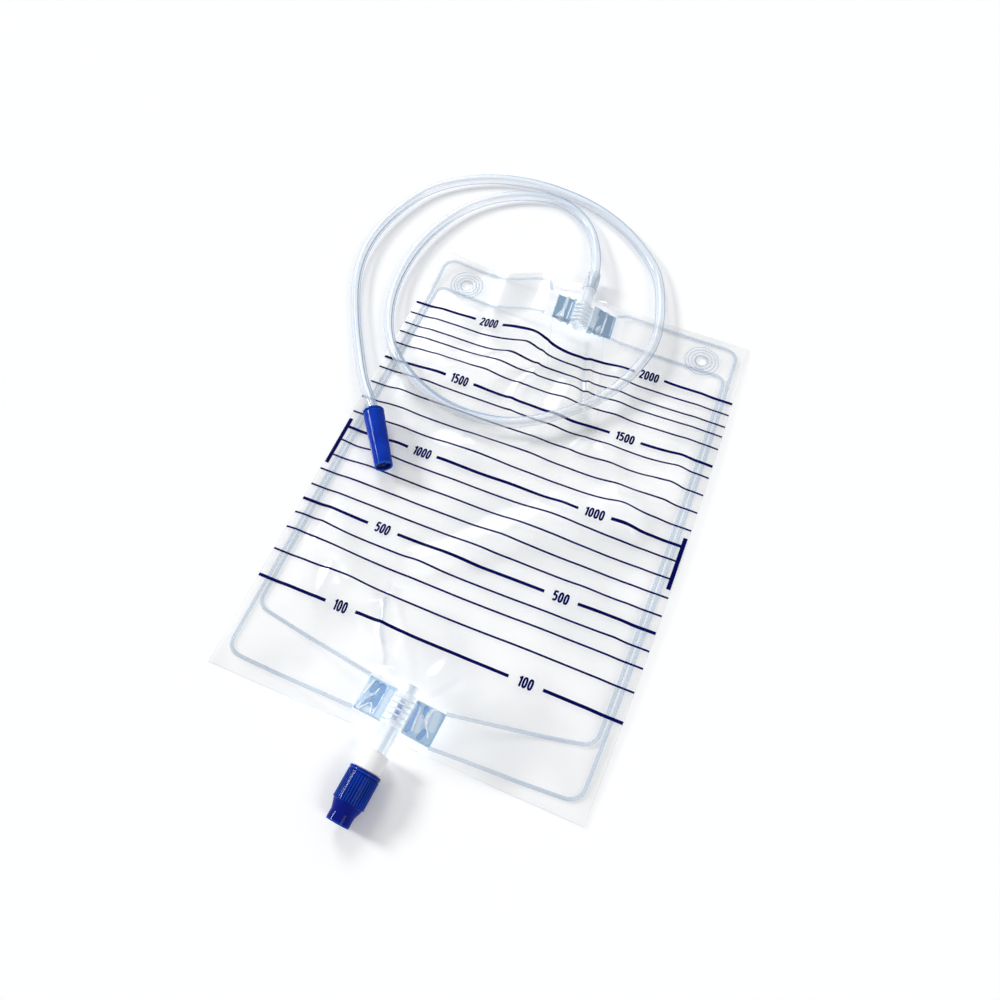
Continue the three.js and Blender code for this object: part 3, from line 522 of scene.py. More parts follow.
def tubeConnector():
    outside = [(connector["hole"], connector["seat"]), (connector["barrel"], connector["seat"])]
    for at in connector["ribs"]:
        outside += [(connector["barrel"], at), (connector["barrel"] - 0.25, at + 0.4),
                    (connector["barrel"] - 0.25, at + 0.9), (connector["barrel"], at + 1.3)]
    profile = outside + [
        (connector["barrel"], connector["barrelEnd"]), (connector["coneBase"], connector["barrelEnd"]),
        (connector["coneTip"], connector["tip"]), (connector["bore"], connector["tip"]),
        (connector["bore"], connector["socketEnd"]), (connector["hole"], connector["socketEnd"]),
    ]
    points, faces = turned(softened(profile, 0.2), 48)
    return makePiece("catheter_connector", placed(capPlace, points), faces, ["connector"], "bag",
                     ["tube_connector"])


def endCap():
    length, wall, mouth, end, bore, gate = (
        tubeCap[key] for key in ("length", "wall", "mouth", "end", "bore", "gate"))
    floor = length - tubeCap["recess"]
    profile = [
        (0.01, floor - tubeCap["endWall"]), (end - wall, floor - tubeCap["endWall"]), (bore, 0),
        (mouth - tubeCap["bevel"], 0), (mouth, tubeCap["bevel"]), (mouth, 1.9), (mouth - 0.3, 2.1),
        (mouth - 0.3, 2.5), (mouth - 0.06, 2.8), (end, length), (end - wall * 0.8, length),
        (end - wall, floor), (1.9, floor), (1.7, floor + 0.12), (gate, floor + 0.12),
        (gate, floor + tubeCap["gateHeight"]), (0.01, floor + tubeCap["gateHeight"]),
    ]
    outside = stepped(softened(profile, 0.3), 0.8)
    points, faces = turned(outside, tubeCap["sides"], closed=False)
    # painted highlights on the mouth bevel, the end rim and a ridge
    edge = [0.7 * (out < 1.2 and radius > bore) + 0.8 * (out > length - 0.6) + 0.3 * (2.7 < out < 3.4)
            for radius, out in outside]
    # painted shade in the end recess and the groove
    recess = [float(floor - 0.2 < out < length - 0.3 and radius < end - wall * 0.7) + 0.5 * (2.0 < out < 2.6)
              for radius, out in outside]
    masks = {"edge": np.repeat(edge, tubeCap["sides"]), "recess": np.repeat(recess, tubeCap["sides"])}
    return makePiece("tube_end_cap", placed(capPlace, points), faces, ["capBlue"], "tube_cap",
                     ["connector_cap"], masks=masks)


connectorPiece = tubeConnector()
capPiece = endCap()
print("tube, connector and cap")


drape = {"level": 1, "past": 2, "blend": 4, "inward": 14, "bend": 0.6, "slack": 0.25, "fade": 7}
spoutDrape = {"slack": 0.9, "shoulder": 1.6, "shoulderHeight": 0.74, "fade": 3.4}
tents = {"inlet": (34, 40), "outlet": (41, 52)}      # reach inwards, spread sideways
ripples = [                                            # from, to, width, height
    ((-22, 101), (-42, 76), 8, 2.8), ((12, 80), (12, 54), 8, 2.4), ((4, 32), (-40, 13), 10, 2.4),
    ((96, 48), (70, 16), 14, 3), ((66, 10), (20, -26), 12, 2.5), ((-86, -60), (-58, -86), 10, 3.4),
    ((-56, -87), (-28, -98), 12, 2.6), ((38, 103), (45, 76), 7, 1.8), ((-54, 76), (-74, 56), 7, 1.2),
    ((40, -84), (72, -96), 12, 1.2),
]
folds = [                                              # sharper folds of the front film: path, width, height
    ([(-13, 117), (-13, 87), (-14, 73)], 1.8, 1.3), ([(-15, 86), (-20, 71), (-19, 58), (-12, 45)], 2.8, 1.3),
    ([(11, 114), (16, 94), (23, 73)], 2.2, -1.1), ([(17, 106), (23, 84), (29, 65)], 1.8, 1.4),
    ([(16, 41), (27, 40), (34, 55)], 2.4, 1.0), ([(-8, 118), (-30, 92), (-52, 80)], 3.4, 1.0),
    ([(-15, -127), (-18, -116), (-27, -105), (-31, -94), (-34, -87)], 2.4, 2.2),
    ([(-8, -128), (-12, -115), (-15, -101)], 2.2, 1.4), ([(-40, -93), (-31, -83)], 2.0, 0.9),
    ([(-46, -78), (-17, -78), (11, -76), (36, -74), (58, -74)], 2.2, 0.9),
    ([(8, -82), (31, -79), (67, -81)], 2.0, 0.7),
    ([(6, -130), (10, -118), (14, -104)], 3.0, 1.5), ([(-3, -93), (17, -99)], 2.6, 0.8),
    ([(-85, -70), (-70, -79), (-70, -107)], 4.0, 1.2), ([(-24, -118), (-46, -96), (-60, -90)], 3.2, 1.0),
    ([(16, -122), (40, -108), (70, -104)], 3.4, 1.0), ([(60, 30), (84, 44)], 3.2, 0.8),
]
swells = [                                             # and its broad, low ones
    ([(47, 47), (55, 36), (66, 19), (74, 4)], 6.5, 1.7), ([(-74, 70), (-44, 64)], 7, 1.4),
    ([(-27, -61), (-5, -49), (11, -31)], 6.5, 1.4), ([(35, 3), (-4, -37), (-26, -59)], 8, 1.8),
    ([(-84, 40), (-70, 8), (-80, -20)], 7, 1.2), ([(-30, 24), (0, 8), (40, -6)], 7, 1.0),
    ([(40, 120), (62, 108)], 6, 0.9), ([(-66, 112), (-40, 108)], 8, 0.9), ([(64, -40), (88, -56)], 7, 1.0),
]
tucks = [                                              # where the film lies double, painted greyer there as fold shade: path, width, share
    ([(11, 116), (16, 96), (22, 76)], 2.0, 0.9), ([(19, 104), (26, 84)], 1.3, 0.6),
    ([(-15, 84), (-21, 66)], 1.6, 0.5), ([(-36, -76), (-30, -96), (-22, -110)], 1.4, 0.6),
    ([(26, 68), (34, 58)], 3.0, 0.7), ([(44, 92), (49, 74)], 3.4, 0.5),
    ([(-70, -79), (-68, -104)], 2.6, 0.35), ([(13, -126), (22, -112)], 2.4, 0.4),
]
waves = {"long": (26, 0.75), "middle": (12, 0.2), "outside": 0.2, "deepest": -0.3, "back": 0.5, "backSize": 24}


def softMax(a, b, soft=0.6):
    return 0.5 * (a + b + np.sqrt((a - b) ** 2 + soft ** 2) - soft)


def toFitting(port, x, y):
    turn = math.radians(port["yaw"])
    dx, dy = x - port["x"], y - port["y"]
    return dx * math.cos(turn) + dy * math.sin(turn), dy * math.cos(turn) - dx * math.sin(turn)


def fromFitting(port, across, out):
    turn = math.radians(port["yaw"])
    return (port["x"] + across * math.cos(turn) - out * math.sin(turn),
            port["y"] + across * math.sin(turn) + out * math.cos(turn))


def fittingRoom(port, x, y):
    across, out = toFitting(port, x, y)
    far = np.abs(across)
    half, clear = film["gap"] / 2, film["clearance"]
    wings = np.interp(far, [0, fitting["wingInner"] + drape["bend"], fitting["halfWidth"] + drape["bend"],
                            fitting["halfWidth"] + drape["fade"]],
                      [port["ringHalf"] + clear + drape["slack"], port["wingHalf"] + clear + drape["slack"],
                       fitting["wingTip"] + clear, half])
    radius = port["spoutRadius"]
    spout = np.interp(
        far, [0, radius * spoutDrape["shoulder"], radius * spoutDrape["fade"]],
        [radius + clear + spoutDrape["slack"], radius * spoutDrape["shoulderHeight"] + clear, half])
    past = np.clip((out - fittingEnd - drape["past"]) / drape["blend"], 0, 1)
    inward = np.clip((-out - fittingEnd - drape["past"]) / drape["inward"], 0, 1)
    return np.maximum(half, (wings * (1 - past) + spout * past) * np.where(out < 0, 1 - smooth(inward), 1))


def tentHeight(port, tent, x, y):
    reach, spread = tent
    across, out = toFitting(port, x, y)
    side = fitting["halfWidth"] + drape["level"]
    near = 1 - np.clip((-out - fittingEnd - drape["level"]) / reach, 0, 1)
    beside = 1 - smooth((np.abs(across) - side) / spread)
    roll = np.clip(across, -side, side) * math.tan(math.radians(port["roll"]))
    return np.maximum(0, (port["z"] - restHeight - roll) * near * beside)


def middleHeight(x, y):
    edge = smooth((x - film["halfWidth"] + film["rightLiftWidth"]) / film["rightLiftWidth"])
    edge = edge * (1 - (y / film["halfLength"]) ** 2)
    corner = smooth(1 - np.hypot(x + film["halfWidth"], y - film["halfLength"]) / film["cornerReach"])
    lifted = tentHeight(inlet, tents["inlet"], x, y) + tentHeight(outlet, tents["outlet"], x, y)
    return restHeight + lifted + film["rightLift"] * edge + film["cornerLift"] * corner


def pouchOpening(x, y):
    side = film["halfWidth"] - innerWeld["side"]
    funnel = innerWeld["bottom"] - film["halfLength"] - innerWeld["funnel"] * (1 - np.abs(x) / side)
    inside = np.minimum(np.minimum(side - np.abs(x), film["halfLength"] - innerWeld["top"] - y), y - funnel)
    return smooth(inside / film["pouchRamp"])


def nearest(x, y, path):                   # distance to a path of straight runs, and how far along it
    best, along = np.full(np.shape(x), 1e9), np.zeros(np.shape(x))
    for k, (start, end) in enumerate(zip(path, path[1:])):
        run = np.subtract(end, start)
        t = np.clip(((x - start[0]) * run[0] + (y - start[1]) * run[1]) / (run @ run), 0, 1)
        distance = np.hypot(x - start[0] - t * run[0], y - start[1] - t * run[1])
        closer = distance < best
        best, along = np.where(closer, distance, best), np.where(closer, (k + t) / (len(path) - 1), along)
    return best, along


def swell(x, y, path, width, height):
    return height * np.exp(-(nearest(x, y, path)[0] / width) ** 2)


def crease(x, y, path, width, height):
    distance, along = nearest(x, y, path)
    return height * np.exp(-(distance / width) ** 1.4) * (1 - 0.7 * np.abs(2 * along - 1) ** 2)


def noiseField(x, y, size, seed):
    flat = zip(np.ravel(x) / size, np.ravel(y) / size)
    values = [noise.noise((u, v, seed)) for u, v in flat]
    return np.reshape(values, np.shape(x))


def waviness(x, y):
    opening = pouchOpening(x, y)
    total = np.zeros_like(x, dtype=float)
    for seed, key in enumerate(("long", "middle")):
        size, height = waves[key]
        total += height * noiseField(x, y, size, 3.7 + seed)
    return total * (waves["outside"] + (1 - waves["outside"]) * opening)


def frontHeight(x, y):
    x, y = np.asarray(x, float), np.asarray(y, float)
    room = np.maximum(fittingRoom(inlet, x, y), fittingRoom(outlet, x, y))
    relief = film["pouchHeight"] + sum(swell(x, y, (start, end), *size) for start, end, *size in ripples)
    relief = relief + sum(swell(x, y, *each) for each in swells) + sum(crease(x, y, *each) for each in folds)
    pouch = pouchOpening(x, y) * np.maximum(relief, 0.6) + film["gap"] / 2
    lifted = middleHeight(x, y) + softMax(room, pouch)
    return lifted + film["wall"] + np.maximum(waviness(x, y), waves["deepest"])


def backHeight(x, y):
    x, y = np.asarray(x, float), np.asarray(y, float)
    room = np.maximum(fittingRoom(inlet, x, y), fittingRoom(outlet, x, y))
    loose = pouchOpening(x, y) * waves["back"] * (0.5 + noiseField(x, y, waves["backSize"], 9.1))
    return middleHeight(x, y) - np.maximum(room, film["gap"] / 2) - film["wall"] + np.maximum(loose, 0)


def bowed(x, y):
    share = np.clip((x - film["bowStart"]) / (film["halfWidth"] - film["bowStart"]), 0, 1)
    return x + film["rightBow"] * (1 - (np.asarray(y) / film["halfLength"]) ** 2) * share


weldBead = {"width": 2.1, "height": 0.3, "edge": 0.19, "bevel": 0.14, "steps": 1.2}
eyelets = {"sideInset": 25.9, "topInset": 20.2, "hole": 3.2, "height": 0.2,
           "rings": ((4.0, 1.15), (6.4, 0.75), (8.5, 0.75), (10.6, 0.75))}   # radius, width
edgeBand = 0.45


def resampled(path, step):
    path = np.asarray(path, float)
    run = np.concatenate([[0], np.cumsum(np.hypot(*np.diff(path, axis=0).T))])
    stations = np.linspace(0, run[-1], max(2, int(run[-1] / step) + 1))
    return np.stack([np.interp(stations, run, path[:, k]) for k in range(2)], 1)


def ribbon(path, section, height, closed=False):       # section: (offset across, lift) points
    path = np.asarray(path, float)
    if closed:
        ahead = np.roll(path, -1, 0) - np.roll(path, 1, 0)
    else:
        ahead = np.gradient(path, axis=0)
    ahead /= np.hypot(*ahead.T)[:, None]
    side = np.stack([-ahead[:, 1], ahead[:, 0]], 1)
    points = []
    for offset, lift in section:
        x, y = (path + side * offset).T
        points.append(np.stack([bowed(x, y), y, height(x, y) + lift], 1))
    points = np.stack(points, 1).reshape(-1, 3)
    return points, gridFaces(len(path), len(section), loopRows=closed)


def rounded(corners, radius):
    corners = [np.array(corner, float) for corner in corners]
    path = [corners[0]]
    for before, corner, after in zip(corners, corners[1:], corners[2:]):
        start = corner + (before - corner) / np.linalg.norm(before - corner) * radius
        end = corner + (after - corner) / np.linalg.norm(after - corner) * radius
        path += [(1 - t) ** 2 * start + 2 * t * (1 - t) * corner + t * t * end for t in np.linspace(0, 1, 9)]
    return path + [corners[-1]]


def weldPaths(side):
    outerX = side * (film["halfWidth"] - outerWeld["side"])
    innerX = side * (film["halfWidth"] - innerWeld["side"])
    outerTop, outerBottom = film["halfLength"] - outerWeld["top"], outerWeld["bottom"] - film["halfLength"]
    outer = [
        fromFitting(inlet, side * fitting["halfWidth"], fittingEnd),
        (side * (fitting["halfWidth"] + outerWeld["shoulder"]), outerTop),
        (outerX, outerTop), (outerX, outerBottom),
        fromFitting(outlet, -side * fitting["halfWidth"], fittingEnd),
    ]
    inner = [
        fromFitting(inlet, side * fitting["halfWidth"], -fittingEnd),
        (innerX, film["halfLength"] - innerWeld["top"]),
        (innerX, innerWeld["bottom"] - film["halfLength"]),
        fromFitting(outlet, -side * fitting["halfWidth"], -fittingEnd),
    ]
    return [outer[:1] + rounded(outer[1:], outerWeld["corner"]), rounded(inner, innerWeld["corner"])]


def beadSection(width, height):
    bevel, half = weldBead["bevel"], width / 2
    side = [(half, weldBead["edge"]), (half - bevel, height), (half - bevel * 2, height)]
    return [(-offset, lift) for offset, lift in side] + side[::-1]


def circle(x, y, radius, steps=48):
    angles = np.linspace(0, 2 * math.pi, steps, endpoint=False)
    return np.stack([x + radius * np.cos(angles), y + radius * np.sin(angles)], 1)


def filmGrid(height, step):
    lines = []
    for half in (film["halfWidth"], film["halfLength"]):
        even = np.linspace(-half, half, int(2 * half / step) + 1)
        lines.append(np.sort(np.append(even, [edgeBand - half, half - edgeBand])))
    x, y = np.meshgrid(*lines)
    holes = [(side * (film["halfWidth"] - eyelets["sideInset"]), film["halfLength"] - eyelets["topInset"])
             for side in (-1, 1)]
    rim = (np.abs(x) > film["halfWidth"] - 0.01) | (np.abs(y) > film["halfLength"] - 0.01)
    for hx, hy in holes:                   # points near a hanging hole move onto its rim
        reach = np.hypot(x - hx, y - hy)
        near = (reach < eyelets["hole"] + step * 0.75) & (reach > eyelets["hole"] - step * 0.75)
        scale = np.where(near, eyelets["hole"] / np.maximum(reach, 0.1), 1)
        x, y = hx + (x - hx) * scale, hy + (y - hy) * scale
        rim = rim | near
    points = np.stack([bowed(x, y), y, height(x, y)], -1).reshape(-1, 3)
    faces = []
    for face in gridFaces(len(lines[1]), len(lines[0])):
        px, py, _ = points[list(face)].mean(0)
        if all(math.hypot(px - bowed(hx, hy), py - hy) > eyelets["hole"] * 0.96 for hx, hy in holes):
            faces.append(face)
    return points, faces, np.ravel(rim).astype(float)


def frontFilm():
    heap = Heap()
    points, faces, rim = filmGrid(frontHeight, 1.25)
    x, y = points[:, 0], points[:, 1]
    hardFold = folds[6][0]                 # the one beside the outlet, painted as a blue grey line of shade
    fold = np.exp(-(nearest(x, y, hardFold)[0] / 1.5) ** 2) * 0.8
    doubled = np.max([share * np.exp(-(nearest(x, y, path)[0] / width) ** 2)
                      for path, width, share in tucks], 0)
    heap.add(points, faces, rim=rim, fold=fold, doubled=doubled)
    bead = beadSection(weldBead["width"], weldBead["height"])
    for side in (-1, 1):
        for path in weldPaths(side):
            heap.add(*ribbon(resampled(path, weldBead["steps"]), bead, frontHeight), 1)
        x = side * (film["halfWidth"] - eyelets["sideInset"])
        y = film["halfLength"] - eyelets["topInset"]
        for radius, width in eyelets["rings"]:
            section = beadSection(width, eyelets["height"])
            heap.add(*ribbon(circle(x, y, radius), section, frontHeight, closed=True), 1)
    return heap.piece("film_front", ["film", "weld"], "bag", "film", ["front_film"], bend=180)


def backFilm():
    heap = Heap()
    points, faces, rim = filmGrid(backHeight, 2.5)
    heap.add(points, [face[::-1] for face in faces], rim=rim)
    piece = heap.piece("film_back", ["film"], "bag", "film", ["back_film"], bend=180)
    piece.visible_shadow = False           # it lies on the floor


frontFilm()
backFilm()
print("films")


sleeve = {"width": 36, "length": 78, "slant": 0.18, "lift": 0.4, "thick": 0.8, "steps": 52, "round": 12,
          "seam": 0.07, "pucker": 0.25, "puckerSize": 9, "ridge": 0.35, "ridgeAt": 0.35, "ridgeWidth": 0.12}


def valveSleeve():
    heap = Heap()
    drops = np.linspace(0, sleeve["length"], sleeve["steps"] + 1)
    seamEdge = 1 - sleeve["seam"]
    shares = np.array([-1, -seamEdge, -0.8, -0.6, -0.4, -0.2, 0, 0.2, 0.4, 0.6, 0.8, seamEdge, 1])
    u, drop = np.meshgrid(shares, drops)
    inset = np.maximum(0, drop - sleeve["length"] + sleeve["round"]) / sleeve["round"]
    reach = sleeve["width"] / 2 * np.sqrt(np.maximum(0.02, 1 - 0.75 * inset ** 2))
    x, y = fromFitting(inlet, u * reach + sleeve["slant"] * drop, -fittingEnd - film["gap"] - drop)
    pucker = sleeve["pucker"] * noiseField(x, y, sleeve["puckerSize"], 5.5)
    pucker = pucker + sleeve["ridge"] * np.exp(-((u - sleeve["ridgeAt"]) / sleeve["ridgeWidth"]) ** 2)
    z = middleHeight(x, y) + sleeve["lift"] + (sleeve["thick"] + np.maximum(pucker, 0)) * (1 - u ** 2 * 0.8)
    faces = gridFaces(len(drops), len(shares))
    seam = [int(face[0] % len(shares) in (0, len(shares) - 2)) for face in faces]
    heap.add(np.stack([x, y, z], -1).reshape(-1, 3), [face[::-1] for face in faces], seam)
    piece = heap.piece("valve_sleeve_film", ["sleeve", "seam"], "bag", "film", ["valve_sleeve"], bend=180)
    piece.visible_shadow = False           # clear all through


valveSleeve()


scale = {
    "heights": [
        (2000, 262.6), (1900, 253.6), (1800, 244.5), (1700, 237), (1600, 227.6),
        (1500, 215), (1400, 206.7), (1300, 194.6), (1200, 182.5), (1100, 170.5),
        (1000, 159.3), (900, 149.7), (800, 138.4), (700, 127.2), (600, 116),
        (500, 105.6), (400, 95), (300, 84.9), (200, 71.2), (100, 54.2),
    ],
    "labelled": (2000, 1500, 1000, 500, 100), "labelX": 54.5, "labelGap": 19,
    "thin": 1.15, "thick": 1.85, "lift": 0.36, "inset": 0.2, "step": 1.2,
    "digitHeight": 6.0, "stroke": 0.195, "space": 0.25,
    "pulls": [                             # where the film is drawn up or down: place, spread, shift
        ((3, 109), (21, 11), -4.2), ((-6, -72), (62, 42), -0.8), ((94, 62), (14, 46), 1.2),
        ((-100, -64), (12, 12), 1.9), ((16, 60), (16, 16), -1.4), ((-91, -3), (9, 9), -1.2),
    ],
    "bar": {"width": 2.4, "low": -22, "high": 11, "inset": 0.6},
}


def pulled(x, y):
    shift = np.zeros_like(y, dtype=float)
    for (px, py), (wide, tall), amount in scale["pulls"]:
        shift += amount * np.exp(-((x - px) / wide) ** 2 - ((y - py) / tall) ** 2)
    return y + shift


def inkStrip(heap, start, end, width):
    path = resampled([start, end], scale["step"])
    path[:, 1] = pulled(path[:, 0], path[:, 1])
    section = [(offset * width, scale["lift"]) for offset in (-0.5, 0, 0.5)]
    heap.add(*ribbon(path, section, frontHeight))


def curved(*points):
    return catmullRom(points, 0.03)[0]


def squaredRound(value, half, power):      # one coordinate of a zero's stroke
    return half * math.copysign(abs(value) ** power, value)


oval = [(squaredRound(math.cos(a), 0.14, 0.7), squaredRound(math.sin(a), 0.437, 0.9))
        for a in np.linspace(0, 2 * math.pi, 33)]
digits = {                                 # strokes of each numeral, one unit high
    "0": [oval],
    "1": [[(0.05, -0.5), (0.05, 0.5)], [(0.05, 0.43), (-0.02, 0.33), (-0.15, 0.27)]],
    "2": [curved((-0.14, 0.22), (-0.12, 0.36), (0.0, 0.437), (0.12, 0.36), (0.14, 0.2), (0.06, -0.04),
                 (-0.15, -0.43)),
          [(-0.19, -0.437), (0.19, -0.437)]],
    "5": [[(0.17, 0.437), (-0.13, 0.437)], [(-0.115, 0.48), (-0.14, 0.0)],
          curved((-0.14, 0.03), (-0.02, 0.1), (0.1, 0.04), (0.14, -0.14), (0.1, -0.36), (-0.02, -0.437),
                 (-0.15, -0.34))],
}


def digitShape(strokes):                               # flat strips along the strokes
    points, faces = [], []
    for stroke in strokes:
        path = np.array(stroke)
        ahead = np.gradient(path, axis=0)
        if np.allclose(path[0], path[-1]):
            ahead[0] = ahead[-1] = path[1] - path[-2]
        side = np.stack([-ahead[:, 1], ahead[:, 0]], 1) / np.hypot(*ahead.T)[:, None] * scale["stroke"] / 2
        faces += gridFaces(len(path), 2, len(points))
        for spot, half in zip(path, side):
            points += [spot - half, spot + half]
    return np.array(points), faces


shapes = {digit: digitShape(strokes) for digit, strokes in digits.items()}


def numeral(heap, value, x, y):
    size = scale["digitHeight"]
    widths = [np.ptp(shapes[digit][0][:, 0]) * size for digit in str(value)]
    left = x - (sum(widths) + scale["space"] * (len(widths) - 1)) / 2
    for digit, width in zip(str(value), widths):
        shape, faces = shapes[digit]
        px = left + (shape[:, 0] - shape[:, 0].min()) * size
        py = pulled(px, y + shape[:, 1] * size)
        heap.add(np.stack([bowed(px, py), py, frontHeight(px, py) + scale["lift"]], 1), faces)
        left += width + scale["space"]


def printedScale():
    heap = Heap()
    bar = scale["bar"]
    gapEdges = [side * scale["labelX"] + half * scale["labelGap"] / 2 for side in (-1, 1) for half in (-1, 1)]
    for value, height in scale["heights"]:
        y = height - film["halfLength"]
        labelled = value in scale["labelled"]
        width = scale["thick"] if labelled else scale["thin"]
        besideBar = bar["low"] - width < y < bar["high"] + width
        end = film["halfWidth"] - (bar["inset"] + bar["width"] if besideBar else scale["inset"])
        ends = [-end, *(gapEdges if labelled else []), end]
        for low, high in zip(ends[::2], ends[1::2]):
            inkStrip(heap, (low, y), (high, y), width)
        if labelled:
            for side in (-1, 1):
                numeral(heap, value, side * scale["labelX"], y)
    barX = film["halfWidth"] - bar["inset"] - bar["width"] / 2
    for side in (-1, 1):
        inkStrip(heap, (side * barX, bar["low"]), (side * barX, bar["high"]), bar["width"])
    nodes = [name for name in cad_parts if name.startswith(("mark_", "edge_bar_"))]
    piece = heap.piece("printed_scale", ["ink"], "bag", "ink", nodes, bend=180)
    piece.visible_shadow = False


printedScale()
print("printed scale")


wing = {"corner": 2.6, "slope": 0.9, "well": 0.45, "soft": 0.9, "line": 0.42, "fine": 0.3, "web": 0.5,
        "step": 0.2, "under": 0.5}
inletWings = (                             # right and left: paths of (across, out) and half widths; the wells are painted darker as shade, the lines and pads paler as highlights
    {
        "wells": [([(18.7, 7.6), (18.9, -7.8)], 1.8), ([(13, 6), (12.2, -7.6)], 2.1)],
        "lines": [([(10.6, 3), (9.4, -8.4)], 0.24), ([(16.1, 4), (15.2, -8.4)], 0.24),
                  ([(13.8, -3), (12, -8.2)], 0.2)],
        "pads": [([(7.9, 7), (7.9, -7)], 1.0), ([(13, -5.4), (12.6, -7.4)], 1.0)],
    },
    {
        "wells": [([(15.2, 8), (15.6, -7.6)], 2.0), ([(9.1, 7.4), (8.9, -7.4)], 1.5)],
        "lines": [([(8.3, 5.6), (8.6, -7.6)], 0.24), ([(12.6, -2), (15.6, -8)], 0.24),
                  ([(12.4, -2), (11.4, -8.2)], 0.2)],
        "pads": [([(11.9, 8), (12, -1)], 0.6), ([(13, -5.6), (13, -7.6)], 1.3),
                 ([(20.2, 7), (20.4, -7)], 1.6)],
    },
)
outletWings = (
    {
        "wells": [([(13.4, -5.2), (13.2, -1), (13.3, 2.6)], 2.1), ([(17, -6.6), (17.4, -2.6)], 0.9),
                  ([(16.6, 1.6), (18.2, 4.8)], 0.6)],
        "lines": [([(10.8, -3.4), (10.6, 7.4)], 0.26),
                  ([(14.8, -4.6), (15.4, -1.4), (18.4, 2.6), (19.6, 6.3), (20, 8.6)], 0.3),
                  ([(14.7, 3.3), (16.1, 4.6), (17.3, 6.2), (19.2, 8.8)], 0.24),
                  ([(14.7, 3.3), (13.1, 5.2), (12, 8.1)], 0.22),
                  ([(19, -7.4), (19.8, -3.5), (20.4, 0.6)], 0.24)],
        "pads": [([(8.1, -6), (7.8, 7.6)], 0.8), ([(13.6, 6.6), (15, 7.8)], 0.8),
                 ([(21.2, -4), (21.4, 4)], 0.5)],
    },
    {
        "wells": [([(7.6, -6.4), (8.6, 6.6)], 0.9), ([(12.4, -7), (13.2, -3)], 0.7),
                  ([(16.8, 3.6), (15.8, 7.4)], 0.8)],
        "lines": [([(6.6, -7), (6.8, 8)], 0.24), ([(9.9, -5.6), (10.5, 0.1), (11.4, 6)], 0.26),
                  ([(13.9, -5.7), (14.3, -1.8), (17.5, 2.1), (19.8, 5)], 0.26),
                  ([(17.1, -8.6), (15.4, -7.4), (15.3, -2.9), (15.9, -0.4)], 0.5)],
        "pads": [([(11.9, -2), (13.4, 4.6)], 0.9), ([(18.4, -6.8), (19.6, 0.6)], 1.3)],
    },
)


rings = {"count": 5, "pitch": 3.1, "depth": 1.4, "reach": 7.0}


def plateau(value, half, soft):            # 1 within half, 0 past half + soft
    return 1 - smooth((np.abs(value) - half) / soft)


def pressed(u, v, forms, soft):
    total = np.zeros_like(u)
    for path, half in forms:
        total = np.maximum(total, plateau(nearest(u, v, path)[0], half, soft))
    return total


def wingTop(port, sides, u, v):
    far, corner = np.abs(u), wing["corner"]
    across, along = far - fitting["halfWidth"] + corner, np.abs(v) - fittingEnd + corner
    beyond = (np.hypot(np.maximum(across, 0), np.maximum(along, 0))
              + np.minimum(np.maximum(across, along), 0) - corner)
    wall = 1 - smooth(beyond / wing["slope"] + 1)
    body = np.interp(far, [fitting["wingInner"], fitting["halfWidth"]],
                     [port["wingHalf"], fitting["wingTip"] + 0.5])
    right, left = sides
    well, line, pad = [
        np.where(u > 0, pressed(far, v, right[key], soft), pressed(far, v, left[key], soft))
        for key, soft in (("wells", wing["soft"]), ("lines", wing["fine"]), ("pads", wing["soft"]))]
    height = body * wall * (1 - wing["well"] * well * (1 - 0.8 * pad)) + wing["line"] * line * wall
    # painted shade along the wing's inner lower edge and in the wells
    outline = plateau(beyond + 0.55, 0.25, 0.35) * (v < -2) * port["outline"]
    deep = np.maximum(well * (1 - line) * (1 - 0.7 * pad), outline)
    return height, deep, np.maximum(line, 0.45 * pad)


def middleTop(port, u, v):
    core = port["tubeRadius"]
    roundTube = np.sqrt(np.maximum(0, core ** 2 - u ** 2))
    reach = port["ringHalf"] * np.sqrt(np.maximum(0, 1 - (u / rings["reach"]) ** 2))
    web = wing["web"] * reach * plateau(v, rings["pitch"] * 2, 1.0)
    total, ridgeMask = np.maximum(roundTube * plateau(v, fittingEnd, 0.4), web), np.zeros_like(u)
    for k in range(rings["count"]):
        out = (k - (rings["count"] - 1) / 2) * rings["pitch"]
        half = rings["depth"] / 2
        band = plateau(v - out, half * 0.5, half * 0.7)
        total = np.maximum(total, reach * band)
        ridgeMask = np.maximum(ridgeMask, band)
    return total, ridgeMask


